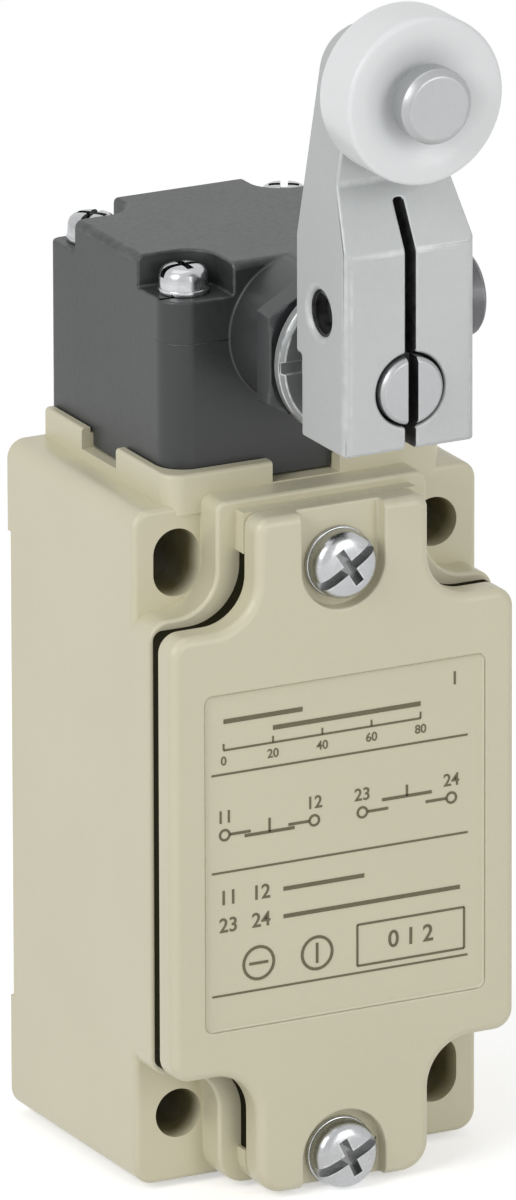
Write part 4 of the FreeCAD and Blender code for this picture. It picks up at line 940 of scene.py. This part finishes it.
# ---------------------------------------------------------------- turned pieces
def lathe(name, section, segments, place, body, finish, replaced):
    """A closed ring from (radius, height) points that run round its section."""
    bm = bmesh.new()
    rows = []
    for radius, height in section:
        row = []
        for i in range(segments):
            angle = math.tau * i / segments
            row.append(bm.verts.new((radius * MM * math.cos(angle), radius * MM * math.sin(angle),
                                     height * MM)))
        rows.append(row)
    for i, row in enumerate(rows):
        above = rows[(i + 1) % len(rows)]
        for j in range(segments):
            after = (j + 1) % segments
            bm.faces.new((row[j], row[after], above[after], above[j]))
    bmesh.ops.recalc_face_normals(bm, faces=bm.faces)
    mesh = bpy.data.meshes.new(name)
    bm.to_mesh(mesh)
    bm.free()
    mesh.transform(place)
    mesh.shade_smooth()
    mesh.set_sharp_from_angle(angle=math.radians(38))
    return add_piece(name, mesh, body, finish, replaced)


def arc(centre, radius, start, end, steps=6):
    points = []
    for i in range(steps + 1):
        angle = math.radians(start + (end - start) * i / steps)
        points.append((centre[0] + radius * math.cos(angle), centre[1] + radius * math.sin(angle)))
    return points


def bowl(outer, inner, top, depth, steps=14):
    """A dish that falls gently from the outer radius to the inner one."""
    points = []
    for i in range(steps + 1):
        share = i / steps
        fall = 0.5 - 0.5 * math.cos(math.pi * share)
        points.append((outer + (inner - outer) * share, top - depth * fall))
    return points


ROLLER_R, ROLLER_WIDTH, ROLLER_BORE_R, ROLLER_CORNER_R = 8.9, 6.6, 3.05, 0.55
DISH_R, DISH_FOOT_R, DISH_DEPTH = 7.4, 3.3, 1.0
ROLLER_BACK_Y, ROLLER_Z = -49.15, 84.3
CORNER_CENTRE_R = ROLLER_R - ROLLER_CORNER_R
ROLLER_SECTION = ([(ROLLER_BORE_R, 0.0)]
                  + arc((CORNER_CENTRE_R, ROLLER_CORNER_R), ROLLER_CORNER_R, -90, 0)
                  + arc((CORNER_CENTRE_R, ROLLER_WIDTH - ROLLER_CORNER_R), ROLLER_CORNER_R, 0, 90)
                  + bowl(DISH_R, DISH_FOOT_R, ROLLER_WIDTH, DISH_DEPTH)
                  + [(ROLLER_BORE_R, ROLLER_WIDTH - DISH_DEPTH)])
lathe("resin_roller", ROLLER_SECTION, 144, facing_front(0, ROLLER_BACK_Y, ROLLER_Z), frame_body("roller"),
      SLOTS["roller"], ["roller"])


# ---------------------------------------------------------------- marking in the cover's panel
PANEL_Y = -37.40 * MM
INK_TOP_Y = PANEL_Y - 0.05 * MM
INK_FOOT_Y = PANEL_Y + 0.02 * MM
MERGE_INK = 0.002 * MM
marking = bmesh.new()


def ink_bar(x0, z0, x1, z1, width):
    """A straight stroke with square ends, as a thin closed block."""
    start, end = Vector((x0, 0, z0)), Vector((x1, 0, z1))
    along = (end - start).normalized()
    across = Vector((-along.z, 0, along.x)) * (width / 2)
    corners = [start - across, end - across, end + across, start + across]
    low = [marking.verts.new((c.x * MM, INK_FOOT_Y, c.z * MM)) for c in corners]
    high = [marking.verts.new((c.x * MM, INK_TOP_Y, c.z * MM)) for c in corners]
    marking.faces.new(low)
    marking.faces.new(high[::-1])
    for i in range(4):
        after = (i + 1) % 4
        marking.faces.new((low[i], high[i], high[after], low[after]))


def ink_ring(x, z, radius, width, steps=24):
    """A circle drawn with a pen of the given width."""
    inner, outer = radius - width / 2, radius + width / 2
    rows = []
    for r, y in ((inner, INK_FOOT_Y), (outer, INK_FOOT_Y), (outer, INK_TOP_Y), (inner, INK_TOP_Y)):
        angles = [math.tau * i / steps for i in range(steps)]
        rows.append([marking.verts.new(((x + r * math.cos(angle)) * MM, y, (z + r * math.sin(angle)) * MM))
                     for angle in angles])
    for k in range(4):
        row, above = rows[k], rows[(k + 1) % 4]
        for i in range(steps):
            after = (i + 1) % steps
            marking.faces.new((row[i], row[after], above[after], above[i]))


def ink_number(text, x, z, size):
    """A plain number set in the built-in typeface, centred on x and z."""
    data = bpy.data.curves.new("number_" + text, "FONT")
    data.body = text
    data.size = size * MM
    data.align_x, data.align_y = "CENTER", "CENTER"
    data.extrude = (INK_FOOT_Y - INK_TOP_Y) / 2
    data.offset = 0.012 * size * MM
    holder = bpy.data.objects.new("number_" + text, data)
    bpy.context.scene.collection.objects.link(holder)
    depsgraph = bpy.context.evaluated_depsgraph_get()
    mesh = bpy.data.meshes.new_from_object(holder.evaluated_get(depsgraph), depsgraph=depsgraph)
    shift = Matrix.Translation((x * MM, (INK_FOOT_Y + INK_TOP_Y) / 2, z * MM))
    mesh.transform(shift @ TO_FRONT)
    marking.from_mesh(mesh)
    bpy.data.objects.remove(holder)
    bpy.data.meshes.remove(mesh)


def draw_contact(x, z, left, right, closed):
    """One contact: two terminals with their numbers, and its bridge, closed against them or open."""
    for side, number in ((-1, left), (1, right)):
        ink_ring(x + side * 5.2, z, 0.55, 0.26)
        ink_bar(x + side * 4.6, z, x + side * 2.2, z, 0.30)
        ink_number(number, x + side * 5.2, z + 1.9, 1.9)
    bridge_z = z - 0.42 if closed else z + 1.0
    ink_bar(x - 2.9, bridge_z, x + 2.9, bridge_z, 0.34)
    ink_bar(x, bridge_z, x, bridge_z + (1.5 if closed else 1.2), 0.26)


def draw_travel(x0, x1, z):
    """Travel bars over a plain degree scale."""
    scale = (x1 - x0) / 80.0
    ink_bar(x0, z, x1, z, 0.22)
    for degrees in (0, 20, 40, 60, 80):
        ink_bar(x0 + degrees * scale, z, x0 + degrees * scale, z + 0.7, 0.2)
        ink_number(str(degrees), x0 + degrees * scale, z - 1.2, 1.35)
    ink_bar(x0 + 20 * scale, z + 1.6, x1, z + 1.6, 0.5)
    ink_bar(x0, z + 3.1, x0 + 32 * scale, z + 3.1, 0.5)


def ink_box(x0, z0, x1, z1, width):
    for a, b in (((x0, z0), (x1, z0)), ((x1, z0), (x1, z1)), ((x1, z1), (x0, z1)), ((x0, z1), (x0, z0))):
        ink_bar(a[0], a[1], b[0], b[1], width)


RULE_ENDS = (-15.3, 14.5)
RULE_HEIGHTS = (9.3, -1.35, -14.75)
for rule_z in RULE_HEIGHTS:
    ink_bar(RULE_ENDS[0], rule_z, RULE_ENDS[1], rule_z, 0.22)
draw_travel(-13.9, 9.0, 11.9)
ink_number("1", 13.0, 15.6, 2.0)
draw_contact(-8.6, 2.7, "11", "12", True)
draw_contact(7.4, 2.7, "23", "24", False)
for row, numbers in enumerate((("11", "12"), ("23", "24"))):
    z = -4.2 - 3.0 * row
    ink_number(numbers[0], -13.4, z, 2.2)
    ink_number(numbers[1], -9.6, z, 2.2)
    ink_bar(-7.0, z, 13.6 if row else 2.4, z, 0.45)
ink_ring(-9.9, -11.8, 1.75, 0.32)
ink_bar(-11.0, -11.8, -8.8, -11.8, 0.3)
ink_ring(-3.1, -11.8, 1.75, 0.32)
ink_bar(-3.1, -12.9, -3.1, -10.7, 0.3)
ink_box(1.6, -14.0, 14.1, -9.5, 0.24)
ink_number("0 1 2", 7.85, -11.75, 2.6)
bmesh.ops.remove_doubles(marking, verts=marking.verts, dist=MERGE_INK)
bmesh.ops.recalc_face_normals(marking, faces=marking.faces)
marking_mesh = bpy.data.meshes.new("panel_marking")
marking.to_mesh(marking_mesh)
marking.free()
add_piece("panel_marking", marking_mesh, "switch_body", "panel_ink")
